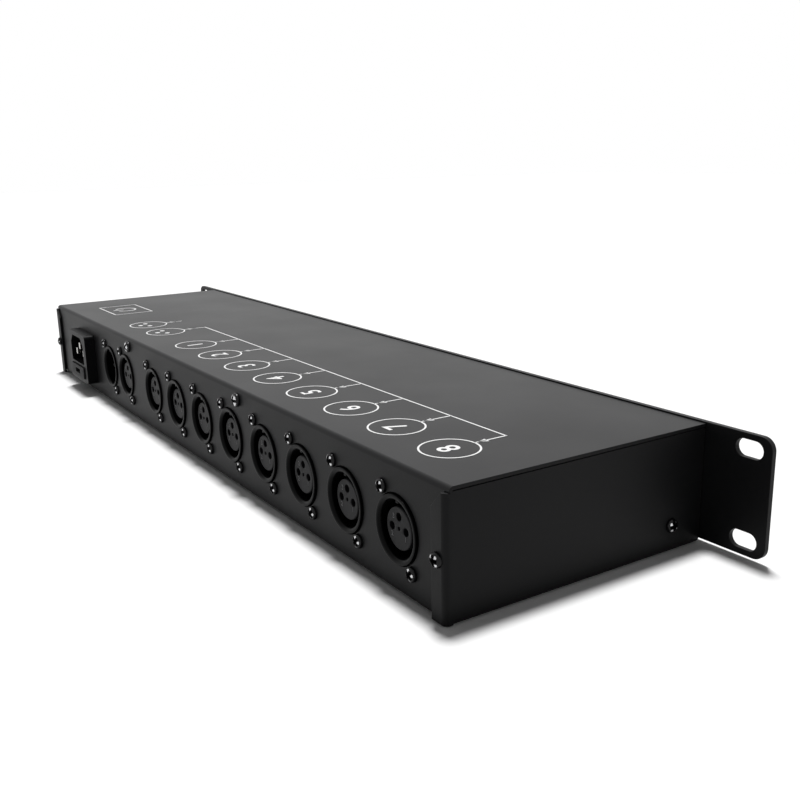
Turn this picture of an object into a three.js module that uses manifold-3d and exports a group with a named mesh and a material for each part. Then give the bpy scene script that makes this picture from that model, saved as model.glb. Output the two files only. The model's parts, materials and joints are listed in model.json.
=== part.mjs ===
// Rack-mounted DMX splitter, one unit high. Millimetres, +Z up.
// The front panel faces -Y and the connectors face +Y. The origin is at the bottom centre.
import * as THREE from 'three';
import * as BufferGeometryUtils from 'three/addons/utils/BufferGeometryUtils.js';
import Module from 'manifold-3d';

const wasm = await Module();
wasm.setup();

// Driving dimensions
const fitGap = 0.3;
const seatGap = 0.1;
const overrun = 1;
const sheet = 1.2;
const bendRadius = 1.8;

const box = {
  width: 430,
  depth: 108,
  height: 43.2,
  rearPanelLift: 1.4,
  flangeWidth: 7,
  flangeBend: 2,
  flangeTopDrop: 1,
  flangeChamfer: 5.4,
};

const rack = {
  earWidth: 26.3,
  earCornerRadius: 4.5,
  panelThickness: 2,
  panelLift: 1.5,
  panelRise: 0.5,
  slotInset: 8.75,
  slotSpacing: 31.75,
  slotLength: 10.7,
  slotHeight: 6.2,
  tabDepth: 20,
  tabMargin: 5,
  returnDepth: 12,
  returnInset: 8,
};

const smallScrew = { headDiameter: 5, headHeight: 1.7, shankDiameter: 2.8, length: 6 };
const largeScrew = { headDiameter: 5.8, headHeight: 2, shankDiameter: 2.8, length: 6 };
const headShares = { shoulderRadius: 0.8, shoulderHeight: 0.75 };
const holeClearance = 0.35;

const xlr = {
  outputCount: 8,
  lastOutputInset: 27.2,
  outputGap: 5.75,
  throughGap: 17.4,
  inputGap: 2.1,
  collarDiameter: 22.8,
  collarProud: 0.9,
  collarRound: 0.5,
  wall: 2,
  barrelLength: 20,
  cupDepth: 14,
  flangeMarginX: 1.6,
  flangeMarginZ: 2.3,
  flangeCorner: 3,
  flangeThickness: 2,
  screwGap: 0.6,
  screwAngle: THREE.MathUtils.degToRad(55.6),
  grooveWidth: 2.3,
  insertRecess: 1.6,
  insertRound: 0.5,
  socketDiameter: 2.8,
  socketDepth: 8,
  centreDimpleDiameter: 1.3,
  centreDimpleDepth: 1,
  pinDiameter: 2.4,
  pinLength: 10.5,
  pinTip: 0.7,
  keyWidth: 1.8,
  keyHeight: 1,
};
const contactCircleShare = 0.547;

const bracketScrewSpan = 140;
const bracketScrewDrop = 4.8;
const bracketScrewGap = 7.2;
const flangeScrewInset = 3.9;
const flangeScrewDrop = 1.3;
const sideScrewSetback = 15;
const sideScrewHeight = 9.8;

const board = { thickness: 1.6, bottom: 5, sideMargin: 13 };
const bracket = { thickness: 1.5, overhang: 10 };

const inlet = {
  sideInset: 62.1,
  dropFromMiddle: 1.1,
  bezelWidth: 35,
  bezelHeight: 28.8,
  bezelProud: 6,
  bezelCorner: 2,
  bezelLipX: 3,
  bezelLipZ: 1.5,
  bodyDepth: 26,
  recessRise: 4.25,
  recessWidth: 25,
  recessHeight: 15.6,
  recessBevel: 4.4,
  recessCorner: 1.6,
  recessDepth: 17,
  bladeWidth: 2,
  bladeHeight: 4,
  bladeSpan: 14,
  bladeOffset: 2,
  bladeTipRecess: 1.4,
};

const drawer = {
  width: 25,
  height: 6.6,
  depth: 22,
  dropFromRecess: 1.6,
  lipProud: 0.9,
  gripWidth: 9,
  gripDepth: 3,
  gripHeight: 2.6,
  fuseDiameter: 5.4,
  fuseLength: 16,
  fuseSetback: 3.5,
};

const rocker = {
  sideInset: 29,
  lidWidth: 10,
  halfLength: 8.6,
  faceAtCentre: 5,
  faceAtEnd: 6.6,
  bodyRadius: 5.2,
  pivotSetback: 3.4,
  pinDiameter: 2,
  pinReach: 1,
  frameWall: 1.5,
  frameLip: 1.5,
  frameProud: 1.6,
  frameCorner: 1.6,
  frameDepth: 12,
  tilt: THREE.MathUtils.degToRad(10),
};

const lights = {
  domeDiameter: 3.2,
  domeProud: 0.9,
  barHeight: 6,
  barThickness: 3,
  barMargin: 6,
  rockerGap: 36,
};
const domeShoulderShare = 0.6;

const supply = {
  width: 68,
  depth: 52,
  height: 24,
  setback: 14,
  boardThickness: 1.6,
  footDiameter: 6,
  footHeight: 6,
  footInset: 5,
  canDiameter: 16,
  coilWidth: 26,
  coilDepth: 22,
  sinkThickness: 2.4,
  partMargin: 4,
};

const segments = { large: 20, medium: 10, small: 8, bend: 3, corner: 2 };

// Planes and places worked out from the driving dimensions
const panelRearY = -box.depth / 2;
const panelFrontY = panelRearY - rack.panelThickness;
const rearOuterY = box.depth / 2;
const rearInnerY = rearOuterY - sheet;
const flangeOuterY = rearOuterY + fitGap + sheet;
const lidUndersideZ = box.height - sheet;
const sideTopZ = lidUndersideZ - fitGap;
const sideOuterX = box.width / 2;
const sideInnerX = sideOuterX - sheet;
const rearHalfWidth = sideOuterX - box.flangeBend;
const flangeEdgeX = sideOuterX - box.flangeWidth;

const panelWidth = box.width + 2 * rack.earWidth;
const panelHeight = box.height + rack.panelRise - rack.panelLift;
const panelCentreZ = rack.panelLift + panelHeight / 2;
const slotX = panelWidth / 2 - rack.slotInset;

const xlrZ = box.height / 2;
const xlrFlangeFrontY = rearInnerY - fitGap;
const xlrFlangeBackY = xlrFlangeFrontY - xlr.flangeThickness;
const collarFrontY = rearOuterY + xlr.collarProud;
const cupFloorY = collarFrontY - xlr.cupDepth;
const barrelBackY = xlrFlangeBackY - xlr.barrelLength;
const boardFaceY = barrelBackY - fitGap;
const boreDiameter = xlr.collarDiameter - 2 * xlr.wall;
const insertDiameter = boreDiameter - 2 * xlr.grooveWidth;
const contactCircleRadius = (contactCircleShare * insertDiameter) / 2;
const screwReach = (xlr.collarDiameter + smallScrew.headDiameter) / 2 + xlr.screwGap;
const screwOffsetX = screwReach * Math.cos(xlr.screwAngle);
const screwOffsetZ = screwReach * Math.sin(xlr.screwAngle);
const xlrFlangeWidth = xlr.collarDiameter + 2 * xlr.flangeMarginX;
const xlrFlangeHeight = 2 * (screwOffsetZ + xlr.flangeMarginZ);
const outputPitch = xlrFlangeWidth + xlr.outputGap;
const firstOutputX = -sideOuterX + xlr.lastOutputInset + outputPitch * (xlr.outputCount - 1);
const throughX = firstOutputX + xlrFlangeWidth + xlr.throughGap;
const inputX = throughX + xlrFlangeWidth + xlr.inputGap;

const bracketScrewZ = box.height - bracketScrewDrop;
const bracketScrewPlaces = [
  { label: 'left', x: throughX - bracketScrewGap - bracketScrewSpan },
  { label: 'right', x: throughX - bracketScrewGap },
];
const flangeScrewX = sideOuterX - flangeScrewInset;
const flangeScrewZ = box.height / 2 - flangeScrewDrop;
const sideScrewY = panelRearY + sideScrewSetback;

const inletX = sideOuterX - inlet.sideInset;
const inletZ = box.height / 2 - inlet.dropFromMiddle;
const inletBodyWidth = inlet.bezelWidth - 2 * inlet.bezelLipX;
const inletBodyHeight = inlet.bezelHeight - 2 * inlet.bezelLipZ;
const bezelFrontY = rearOuterY + inlet.bezelProud;
const inletBackY = bezelFrontY - inlet.bodyDepth;
const recessZ = inletZ + inlet.recessRise;
const drawerTopZ = recessZ - inlet.recessHeight / 2 - drawer.dropFromRecess;
const drawerBottomZ = drawerTopZ - drawer.height;

const rockerX = sideOuterX - rocker.sideInset;
const pivotY = panelFrontY + rocker.pivotSetback;
const rockerCornerReach = Math.hypot(rocker.halfLength, rocker.faceAtEnd);
const rockerCornerAngle = Math.atan2(rocker.halfLength, rocker.faceAtEnd);
const windowWidth = rocker.lidWidth + 2 * fitGap;
const windowHeight = 2 * (rockerCornerReach * Math.sin(rockerCornerAngle + rocker.tilt) + fitGap);
const frameBodyWidth = windowWidth + 2 * rocker.frameWall;
const frameBodyHeight = windowHeight + 2 * rocker.frameWall;

// Materials
function plastic(name, color, roughness) {
  return new THREE.MeshStandardMaterial({ name, color, roughness, metalness: 0 });
}
function metal(name, color, roughness) {
  return new THREE.MeshStandardMaterial({ name, color, roughness, metalness: 1 });
}
const powderCoat = plastic('powder_coat', 0x26272a, 0.62);
const shellMetal = plastic('connector_shell', 0x2b2c2f, 0.45);
const screwMetal = metal('black_screw', 0x3a3a3c, 0.3);
const contactMetal = metal('contact', 0xc9c5bb, 0.25);
const zincSteel = metal('zinc_steel', 0x9a9ca0, 0.4);
const insertPlastic = plastic('insert_plastic', 0x3c3d40, 0.7);
const blackPlastic = plastic('black_plastic', 0x17181a, 0.5);
const boardGreen = plastic('circuit_board', 0x1d5a36, 0.6);
const clearPlastic = plastic('clear_plastic', 0xdfe6e8, 0.2);

// Solid helpers
function toSolid(geometry) {
  const bare = geometry.clone();
  bare.deleteAttribute('normal');
  bare.deleteAttribute('uv');
  const merged = BufferGeometryUtils.mergeVertices(bare);
  const vertProperties = new Float32Array(merged.attributes.position.array);
  const triVerts = new Uint32Array(merged.index.array);
  return new wasm.Manifold(new wasm.Mesh({ numProp: 3, vertProperties, triVerts }));
}

function toGeometry(solid) {
  const mesh = solid.getMesh();
  const geometry = new THREE.BufferGeometry();
  geometry.setAttribute('position', new THREE.BufferAttribute(mesh.vertProperties, 3));
  geometry.setIndex(new THREE.BufferAttribute(mesh.triVerts, 1));
  geometry.computeVertexNormals();
  return geometry;
}

function cutAll(solid, tools) {
  return tools.reduce((rest, tool) => rest.subtract(tool), solid);
}

function joinAll(solids) {
  return solids.reduce((whole, next) => whole.add(next));
}

function block(x0, x1, y0, y1, z0, z1) {
  const geometry = new THREE.BoxGeometry(x1 - x0, y1 - y0, z1 - z0);
  geometry.translate((x0 + x1) / 2, (y0 + y1) / 2, (z0 + z1) / 2);
  return toSolid(geometry);
}

// A shape drawn in X and Z, extruded from y0 to y1
function extrudeAlongY(shape, y0, y1, curveSegments = segments.bend) {
  const geometry = new THREE.ExtrudeGeometry(shape, { depth: y1 - y0, bevelEnabled: false, curveSegments });
  geometry.rotateX(Math.PI / 2);
  geometry.translate(0, y1, 0);
  return toSolid(geometry);
}

// A shape drawn in Y and Z, extruded from x0 to x1
function extrudeAlongX(shape, x0, x1, curveSegments = segments.bend) {
  const geometry = new THREE.ExtrudeGeometry(shape, { depth: x1 - x0, bevelEnabled: false, curveSegments });
  geometry.rotateX(Math.PI / 2);
  geometry.rotateZ(Math.PI / 2);
  geometry.translate(x0, 0, 0);
  return toSolid(geometry);
}

// A shape drawn in X and Y, extruded from z0 to z1
function extrudeAlongZ(shape, z0, z1, curveSegments = segments.bend) {
  const geometry = new THREE.ExtrudeGeometry(shape, { depth: z1 - z0, bevelEnabled: false, curveSegments });
  geometry.translate(0, 0, z0);
  return toSolid(geometry);
}

// A profile of [radius, y] points turned about an axis along Y through (x, z)
function turnedAlongY(profile, x, z, count = segments.large) {
  const points = profile.map(([radius, y]) => new THREE.Vector2(radius, y));
  const geometry = new THREE.LatheGeometry(points, count);
  geometry.translate(x, 0, z);
  return toSolid(geometry);
}

function rodAlongY(diameter, x, z, y0, y1, count = segments.small) {
  const radius = diameter / 2;
  return turnedAlongY([[0, y0], [radius, y0], [radius, y1], [0, y1]], x, z, count);
}

function rodAlongX(diameter, y, z, x0, x1, count = segments.small) {
  const geometry = new THREE.CylinderGeometry(diameter / 2, diameter / 2, x1 - x0, count);
  geometry.rotateZ(Math.PI / 2);
  geometry.translate((x0 + x1) / 2, y, z);
  return toSolid(geometry);
}

function rodAlongZ(diameter, x, y, z0, z1, count = segments.small) {
  const geometry = new THREE.CylinderGeometry(diameter / 2, diameter / 2, z1 - z0, count);
  geometry.rotateX(Math.PI / 2);
  geometry.translate(x, y, (z0 + z1) / 2);
  return toSolid(geometry);
}

function roundedRectangle(x, z, width, height, radius) {
  const left = x - width / 2;
  const right = x + width / 2;
  const low = z - height / 2;
  const high = z + height / 2;
  const shape = new THREE.Shape();
  shape.moveTo(left + radius, low);
  shape.lineTo(right - radius, low);
  shape.absarc(right - radius, low + radius, radius, -Math.PI / 2, 0);
  shape.lineTo(right, high - radius);
  shape.absarc(right - radius, high - radius, radius, 0, Math.PI / 2);
  shape.lineTo(left + radius, high);
  shape.absarc(left + radius, high - radius, radius, Math.PI / 2, Math.PI);
  shape.lineTo(left, low + radius);
  shape.absarc(left + radius, low + radius, radius, Math.PI, Math.PI * 1.5);
  return shape;
}

// The object's pieces, each a mesh in the group
const splitter = new THREE.Group();

function addPiece(name, solid, material, parent = splitter) {
  const mesh = new THREE.Mesh(toGeometry(solid), material);
  mesh.name = name;
  parent.add(mesh);
  return mesh;
}

// The ten connectors in order from the mains end
const connectors = [
  { name: 'xlr_input', x: inputX, male: true },
  { name: 'xlr_through', x: throughX, male: false },
];
for (let index = 0; index < xlr.outputCount; index += 1) {
  const x = firstOutputX - outputPitch * index;
  connectors.push({ name: `xlr_output_${index + 1}`, x, male: false });
}

// Each connector's two screws, upper towards +X and lower towards -X
function connectorScrewPlaces(x) {
  return [1, -1].map((side) => ({
    label: side > 0 ? 'upper' : 'lower',
    x: x + side * screwOffsetX,
    z: xlrZ + side * screwOffsetZ,
  }));
}

function clearanceHole(screw, x, z, y0, y1) {
  return rodAlongY(screw.shankDiameter + 2 * holeClearance, x, z, y0 - overrun, y1 + overrun);
}

// Top cover: lid and rear panel folded from one sheet
function topCoverSolid() {
  const inner = bendRadius - sheet;
  const profile = new THREE.Shape();
  const lidFrontY = panelRearY + fitGap;
  profile.moveTo(lidFrontY, lidUndersideZ);
  profile.lineTo(rearOuterY - bendRadius, lidUndersideZ);
  profile.absarc(rearOuterY - bendRadius, box.height - bendRadius, inner, Math.PI / 2, 0, true);
  profile.lineTo(rearInnerY, box.rearPanelLift);
  profile.lineTo(rearOuterY, box.rearPanelLift);
  profile.lineTo(rearOuterY, box.height - bendRadius);
  profile.absarc(rearOuterY - bendRadius, box.height - bendRadius, bendRadius, 0, Math.PI / 2);
  profile.lineTo(lidFrontY, box.height);
  const folded = extrudeAlongX(profile, -sideOuterX, sideOuterX);
  const reliefs = [-1, 1].map((side) => {
    const near = side * rearHalfWidth;
    const far = side * (sideOuterX + overrun);
    const reliefFrontY = rearOuterY - bendRadius - overrun;
    const reliefRearY = rearOuterY + overrun;
    const left = Math.min(near, far);
    const right = Math.max(near, far);
    return block(left, right, reliefFrontY, reliefRearY, -overrun, lidUndersideZ);
  });
  const collarHole = xlr.collarDiameter + 2 * fitGap;
  const holes = connectors.flatMap(({ x }) => [
    rodAlongY(collarHole, x, xlrZ, rearInnerY - overrun, rearOuterY + overrun, segments.large),
    ...connectorScrewPlaces(x).map((place) =>
      clearanceHole(smallScrew, place.x, place.z, rearInnerY, rearOuterY)),
  ]);
  for (const { x } of bracketScrewPlaces) {
    holes.push(clearanceHole(largeScrew, x, bracketScrewZ, rearInnerY, rearOuterY));
  }
  for (const x of [-flangeScrewX, flangeScrewX]) {
    holes.push(clearanceHole(smallScrew, x, flangeScrewZ, rearInnerY, rearOuterY));
  }
  const inletHole = roundedRectangle(
    inletX,
    inletZ,
    inletBodyWidth + 2 * fitGap,
    inletBodyHeight + 2 * fitGap,
    inlet.bezelCorner,
  );
  holes.push(extrudeAlongY(inletHole, rearInnerY - overrun, rearOuterY + overrun));
  return cutAll(folded, [...reliefs, ...holes]);
}

// Base tray: floor and sides folded from one sheet, with flanges over the rear panel's ends
function baseTraySolid() {
  const frontY = panelRearY + fitGap;
  const floorRearY = rearInnerY - fitGap;
  const inner = bendRadius - sheet;
  const channel = new THREE.Shape();
  channel.moveTo(-sideOuterX, sideTopZ);
  channel.lineTo(-sideOuterX, bendRadius);
  channel.absarc(-sideOuterX + bendRadius, bendRadius, bendRadius, Math.PI, Math.PI * 1.5);
  channel.lineTo(sideOuterX - bendRadius, 0);
  channel.absarc(sideOuterX - bendRadius, bendRadius, bendRadius, -Math.PI / 2, 0);
  channel.lineTo(sideOuterX, sideTopZ);
  channel.lineTo(sideInnerX, sideTopZ);
  channel.lineTo(sideInnerX, bendRadius);
  channel.absarc(sideOuterX - bendRadius, bendRadius, inner, 0, -Math.PI / 2, true);
  channel.lineTo(-sideOuterX + bendRadius, sheet);
  channel.absarc(-sideOuterX + bendRadius, bendRadius, inner, -Math.PI / 2, -Math.PI, true);
  channel.lineTo(-sideInnerX, sideTopZ);
  const tray = extrudeAlongY(channel, frontY, floorRearY);

  const bendCentreY = flangeOuterY - box.flangeBend;
  const flangeInner = box.flangeBend - sheet;
  const flangeTopZ = sideTopZ - box.flangeTopDrop;
  const flanges = [-1, 1].map((side) => {
    const corner = new THREE.Shape();
    const centreX = sideOuterX - box.flangeBend;
    corner.moveTo(sideOuterX, floorRearY - overrun);
    corner.lineTo(sideOuterX, bendCentreY);
    corner.absarc(centreX, bendCentreY, box.flangeBend, 0, Math.PI / 2);
    corner.lineTo(flangeEdgeX, flangeOuterY);
    corner.lineTo(flangeEdgeX, flangeOuterY - sheet);
    corner.lineTo(centreX, flangeOuterY - sheet);
    corner.absarc(centreX, bendCentreY, flangeInner, Math.PI / 2, 0, true);
    corner.lineTo(sideInnerX, floorRearY - overrun);
    const wrapped = extrudeAlongZ(corner, 0, sideTopZ);
    const keep = new THREE.Shape();
    const outerX = sideOuterX + overrun;
    keep.moveTo(flangeEdgeX - overrun, -overrun);
    keep.lineTo(sideOuterX - bendRadius, -overrun);
    keep.lineTo(sideOuterX - bendRadius, 0);
    keep.absarc(sideOuterX - bendRadius, bendRadius, bendRadius, -Math.PI / 2, 0);
    keep.lineTo(outerX, bendRadius);
    keep.lineTo(outerX, sideTopZ + overrun);
    keep.lineTo(sideOuterX - sheet, sideTopZ + overrun);
    keep.lineTo(sideOuterX - sheet, flangeTopZ);
    keep.lineTo(sideOuterX - box.flangeBend, flangeTopZ);
    keep.lineTo(flangeEdgeX - overrun, flangeTopZ - box.flangeChamfer);
    const keptSolid = extrudeAlongY(keep, floorRearY - 2 * overrun, flangeOuterY + overrun);
    const trimmed = wrapped.intersect(keptSolid);
    return side > 0 ? trimmed : trimmed.mirror([1, 0, 0]);
  });
  const flangeHoles = [-1, 1].map((side) =>
    clearanceHole(smallScrew, side * flangeScrewX, flangeScrewZ, rearOuterY, flangeOuterY));
  const sideHoleDiameter = smallScrew.shankDiameter + 2 * holeClearance;
  const sideHole = rodAlongX(
    sideHoleDiameter,
    sideScrewY,
    sideScrewHeight,
    -sideOuterX - overrun,
    sideOuterX + overrun,
  );
  return cutAll(joinAll([tray, ...flanges]), [...flangeHoles, sideHole]);
}

// Front panel: face with rack ears, two side tabs and a return under the lid
function frontPanelSolid() {
  const bottomZ = rack.panelLift;
  const topZ = bottomZ + panelHeight;
  const face = roundedRectangle(0, panelCentreZ, panelWidth, panelHeight, rack.earCornerRadius);
  const slots = [];
  for (const side of [-1, 1]) {
    for (const level of [-1, 1]) {
      slots.push(roundedRectangle(
        side * slotX,
        panelCentreZ + (level * rack.slotSpacing) / 2,
        rack.slotLength,
        rack.slotHeight,
        rack.slotHeight / 2,
      ));
    }
  }
  face.holes = slots;
  const wholePlate = extrudeAlongY(face, panelFrontY, panelRearY);
  const middle = block(-sideOuterX, sideOuterX, panelFrontY, panelRearY, bottomZ, topZ);
  const ears = wholePlate.subtract(middle);
  const tabOuterX = sideInnerX - fitGap;
  const tabRearY = panelRearY + rack.tabDepth;
  const tabs = [-1, 1].map((side) => {
    const outer = side * tabOuterX;
    const inner = side * (tabOuterX - sheet);
    return block(
      Math.min(outer, inner),
      Math.max(outer, inner),
      panelRearY - overrun,
      tabRearY,
      sheet + rack.tabMargin,
      sideTopZ - rack.tabMargin,
    );
  });
  const returnTopZ = lidUndersideZ - fitGap;
  const returnHalf = tabOuterX - rack.returnInset;
  const topReturn = block(
    -returnHalf,
    returnHalf,
    panelRearY - overrun,
    panelRearY + rack.returnDepth,
    returnTopZ - sheet,
    returnTopZ,
  );
  const rockerHole = roundedRectangle(
    rockerX,
    panelCentreZ,
    frameBodyWidth + 2 * fitGap,
    frameBodyHeight + 2 * fitGap,
    rocker.frameCorner,
  );
  const cutFrontY = panelFrontY - overrun;
  const cutRearY = panelRearY + overrun;
  const holes = [extrudeAlongY(rockerHole, cutFrontY, cutRearY)];
  const lightHole = lights.domeDiameter + 2 * fitGap;
  for (const x of lightPlaces()) {
    holes.push(rodAlongY(lightHole, x, panelCentreZ, cutFrontY, cutRearY, segments.medium));
  }
  const tabHole = smallScrew.shankDiameter + 2 * holeClearance;
  holes.push(rodAlongX(tabHole, sideScrewY, sideScrewHeight, -sideOuterX, sideOuterX));
  return cutAll(joinAll([middle, ears, ...tabs, topReturn]), holes);
}

// One light for power and one for each connector except the through socket
function lightPlaces() {
  const connectorPlaces = connectors.filter(({ name }) => name !== 'xlr_through').map(({ x }) => x);
  return [rockerX - lights.rockerGap, ...connectorPlaces];
}

function indicatorSolid() {
  const places = lightPlaces();
  const barFrontY = panelRearY + fitGap;
  const barHalf = lights.barHeight / 2;
  const bar = block(
    Math.min(...places) - lights.barMargin,
    Math.max(...places) + lights.barMargin,
    barFrontY,
    barFrontY + lights.barThickness,
    panelCentreZ - barHalf,
    panelCentreZ + barHalf,
  );
  const radius = lights.domeDiameter / 2;
  const domes = places.map((x) => {
    const tipY = panelFrontY - lights.domeProud;
    const rootY = barFrontY + lights.barThickness / 2;
    return turnedAlongY([
      [0, tipY],
      [radius * domeShoulderShare, tipY],
      [radius, panelFrontY],
      [radius, rootY],
      [0, rootY],
    ], x, panelCentreZ, segments.small);
  });
  return joinAll([bar, ...domes]);
}

// Connector shell: square flange behind the panel, a collar through it and a barrel inside
function shellSolid(x) {
  const z = xlrZ;
  const collar = xlr.collarDiameter / 2;
  const bore = boreDiameter / 2;
  const round = xlr.collarRound;
  const tube = turnedAlongY([
    [bore, barrelBackY],
    [collar, barrelBackY],
    [collar, collarFrontY - round],
    [collar - round, collarFrontY],
    [bore, collarFrontY],
    [bore, barrelBackY],
  ], x, z);
  const flangeShape = roundedRectangle(x, z, xlrFlangeWidth, xlrFlangeHeight, xlr.flangeCorner);
  const flange = extrudeAlongY(flangeShape, xlrFlangeBackY, xlrFlangeFrontY, segments.corner);
  const middle = (bore + collar) / 2;
  const cutBackY = xlrFlangeBackY - overrun;
  const cutFrontY = xlrFlangeFrontY + overrun;
  const openFlange = flange.subtract(rodAlongY(2 * middle, x, z, cutBackY, cutFrontY, segments.large));
  const keyBackY = cupFloorY + overrun;
  const keyFrontY = collarFrontY - overrun;
  const key = block(
    x - xlr.keyWidth / 2,
    x + xlr.keyWidth / 2,
    keyBackY,
    keyFrontY,
    z + bore - xlr.keyHeight,
    z + middle,
  );
  const screwHoles = connectorScrewPlaces(x).map((place) =>
    clearanceHole(smallScrew, place.x, place.z, xlrFlangeBackY, xlrFlangeFrontY));
  return cutAll(joinAll([tube, openFlange, key]), screwHoles);
}

// Contacts at the sides and the top of the contact circle
function contactPlaces(x) {
  return [0, Math.PI / 2, Math.PI].map((angle) => ({
    x: x + contactCircleRadius * Math.cos(angle),
    z: xlrZ + contactCircleRadius * Math.sin(angle),
  }));
}

function femaleInsertSolid(x) {
  const base = boreDiameter / 2 - fitGap;
  const core = insertDiameter / 2;
  const faceY = collarFrontY - xlr.insertRecess;
  const body = turnedAlongY([
    [0, barrelBackY],
    [base, barrelBackY],
    [base, cupFloorY],
    [core, cupFloorY],
    [core, faceY - xlr.insertRound],
    [core - xlr.insertRound, faceY],
    [0, faceY],
  ], x, xlrZ);
  const sockets = contactPlaces(x).map((place) =>
    rodAlongY(xlr.socketDiameter, place.x, place.z, faceY - xlr.socketDepth, faceY + overrun));
  const dimpleFloorY = faceY - xlr.centreDimpleDepth;
  const dimple = rodAlongY(xlr.centreDimpleDiameter, x, xlrZ, dimpleFloorY, faceY + overrun);
  return cutAll(body, [...sockets, dimple]);
}

function maleInsertSolid(x) {
  const discDiameter = boreDiameter - 2 * fitGap;
  const disc = rodAlongY(discDiameter, x, xlrZ, barrelBackY, cupFloorY, segments.large);
  const radius = xlr.pinDiameter / 2;
  const tipY = cupFloorY + xlr.pinLength;
  const pins = contactPlaces(x).map((place) => turnedAlongY([
    [0, cupFloorY - overrun],
    [radius, cupFloorY - overrun],
    [radius, tipY - xlr.pinTip],
    [radius - xlr.pinTip, tipY],
    [0, tipY],
  ], place.x, place.z, segments.small));
  return joinAll([disc, ...pins]);
}

// A pan-head screw that points along -Y, its head on the plane seatY
function screwSolid(screw, x, z, seatY) {
  const head = screw.headDiameter / 2;
  const shank = screw.shankDiameter / 2;
  const seat = seatY + seatGap;
  return turnedAlongY([
    [0, seat - screw.length],
    [shank, seat - screw.length],
    [shank, seat],
    [head, seat],
    [head * headShares.shoulderRadius, seat + screw.headHeight * headShares.shoulderHeight],
    [0, seat + screw.headHeight],
  ], x, z, segments.small);
}

// Mains inlet: bezel outside the panel and a body through it, with a recess and a drawer bay
function recessShape() {
  const half = inlet.recessWidth / 2;
  const low = recessZ - inlet.recessHeight / 2;
  const high = recessZ + inlet.recessHeight / 2;
  const radius = inlet.recessCorner;
  const left = inletX - half;
  const right = inletX + half;
  const shape = new THREE.Shape();
  shape.moveTo(left + radius, low);
  shape.lineTo(right - radius, low);
  shape.absarc(right - radius, low + radius, radius, -Math.PI / 2, 0);
  shape.lineTo(right, high - inlet.recessBevel);
  shape.lineTo(right - inlet.recessBevel, high);
  shape.lineTo(left + inlet.recessBevel, high);
  shape.lineTo(left, high - inlet.recessBevel);
  shape.lineTo(left, low + radius);
  shape.absarc(left + radius, low + radius, radius, Math.PI, Math.PI * 1.5);
  return shape;
}

const blades = [
  { name: 'inlet_blade_line', x: inletX + inlet.bladeSpan / 2, z: recessZ - inlet.bladeOffset },
  { name: 'inlet_blade_neutral', x: inletX - inlet.bladeSpan / 2, z: recessZ - inlet.bladeOffset },
  { name: 'inlet_blade_earth', x: inletX, z: recessZ + inlet.bladeOffset },
];

function inletHousingSolid() {
  const bezelShape = roundedRectangle(
    inletX,
    inletZ,
    inlet.bezelWidth,
    inlet.bezelHeight,
    inlet.bezelCorner,
  );
  const bezel = extrudeAlongY(bezelShape, rearOuterY + seatGap, bezelFrontY);
  const bodyShape = roundedRectangle(
    inletX,
    inletZ,
    inletBodyWidth,
    inletBodyHeight,
    inlet.bezelCorner,
  );
  const body = extrudeAlongY(bodyShape, inletBackY, bezelFrontY - overrun);
  const recess = extrudeAlongY(recessShape(), bezelFrontY - inlet.recessDepth, bezelFrontY + overrun);
  const bay = block(
    inletX - drawer.width / 2 - fitGap,
    inletX + drawer.width / 2 + fitGap,
    bezelFrontY - drawer.depth - fitGap,
    bezelFrontY + overrun,
    drawerBottomZ - fitGap,
    drawerTopZ + fitGap,
  );
  const bladeSlots = blades.map(({ x, z }) => block(
    x - inlet.bladeWidth / 2 - fitGap,
    x + inlet.bladeWidth / 2 + fitGap,
    inletBackY - overrun,
    bezelFrontY - inlet.recessDepth + overrun,
    z - inlet.bladeHeight / 2 - fitGap,
    z + inlet.bladeHeight / 2 + fitGap,
  ));
  return cutAll(bezel.add(body), [recess, bay, ...bladeSlots]);
}

function bladeSolid({ x, z }) {
  return block(
    x - inlet.bladeWidth / 2,
    x + inlet.bladeWidth / 2,
    inletBackY,
    bezelFrontY - inlet.bladeTipRecess,
    z - inlet.bladeHeight / 2,
    z + inlet.bladeHeight / 2,
  );
}

function drawerSolid() {
  const frontY = bezelFrontY + drawer.lipProud;
  const left = inletX - drawer.width / 2;
  const right = inletX + drawer.width / 2;
  const body = block(left, right, bezelFrontY - drawer.depth, frontY, drawerBottomZ, drawerTopZ);
  const middleZ = (drawerBottomZ + drawerTopZ) / 2;
  const grip = block(
    inletX - drawer.gripWidth / 2,
    inletX + drawer.gripWidth / 2,
    frontY - drawer.gripDepth,
    frontY + overrun,
    middleZ - drawer.gripHeight / 2,
    middleZ + drawer.gripHeight / 2,
  );
  const troughFrontY = bezelFrontY - drawer.fuseSetback;
  const trough = rodAlongY(
    drawer.fuseDiameter,
    inletX,
    drawerTopZ,
    troughFrontY - drawer.fuseLength,
    troughFrontY,
    segments.medium,
  );
  return cutAll(body, [grip, trough]);
}

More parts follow.
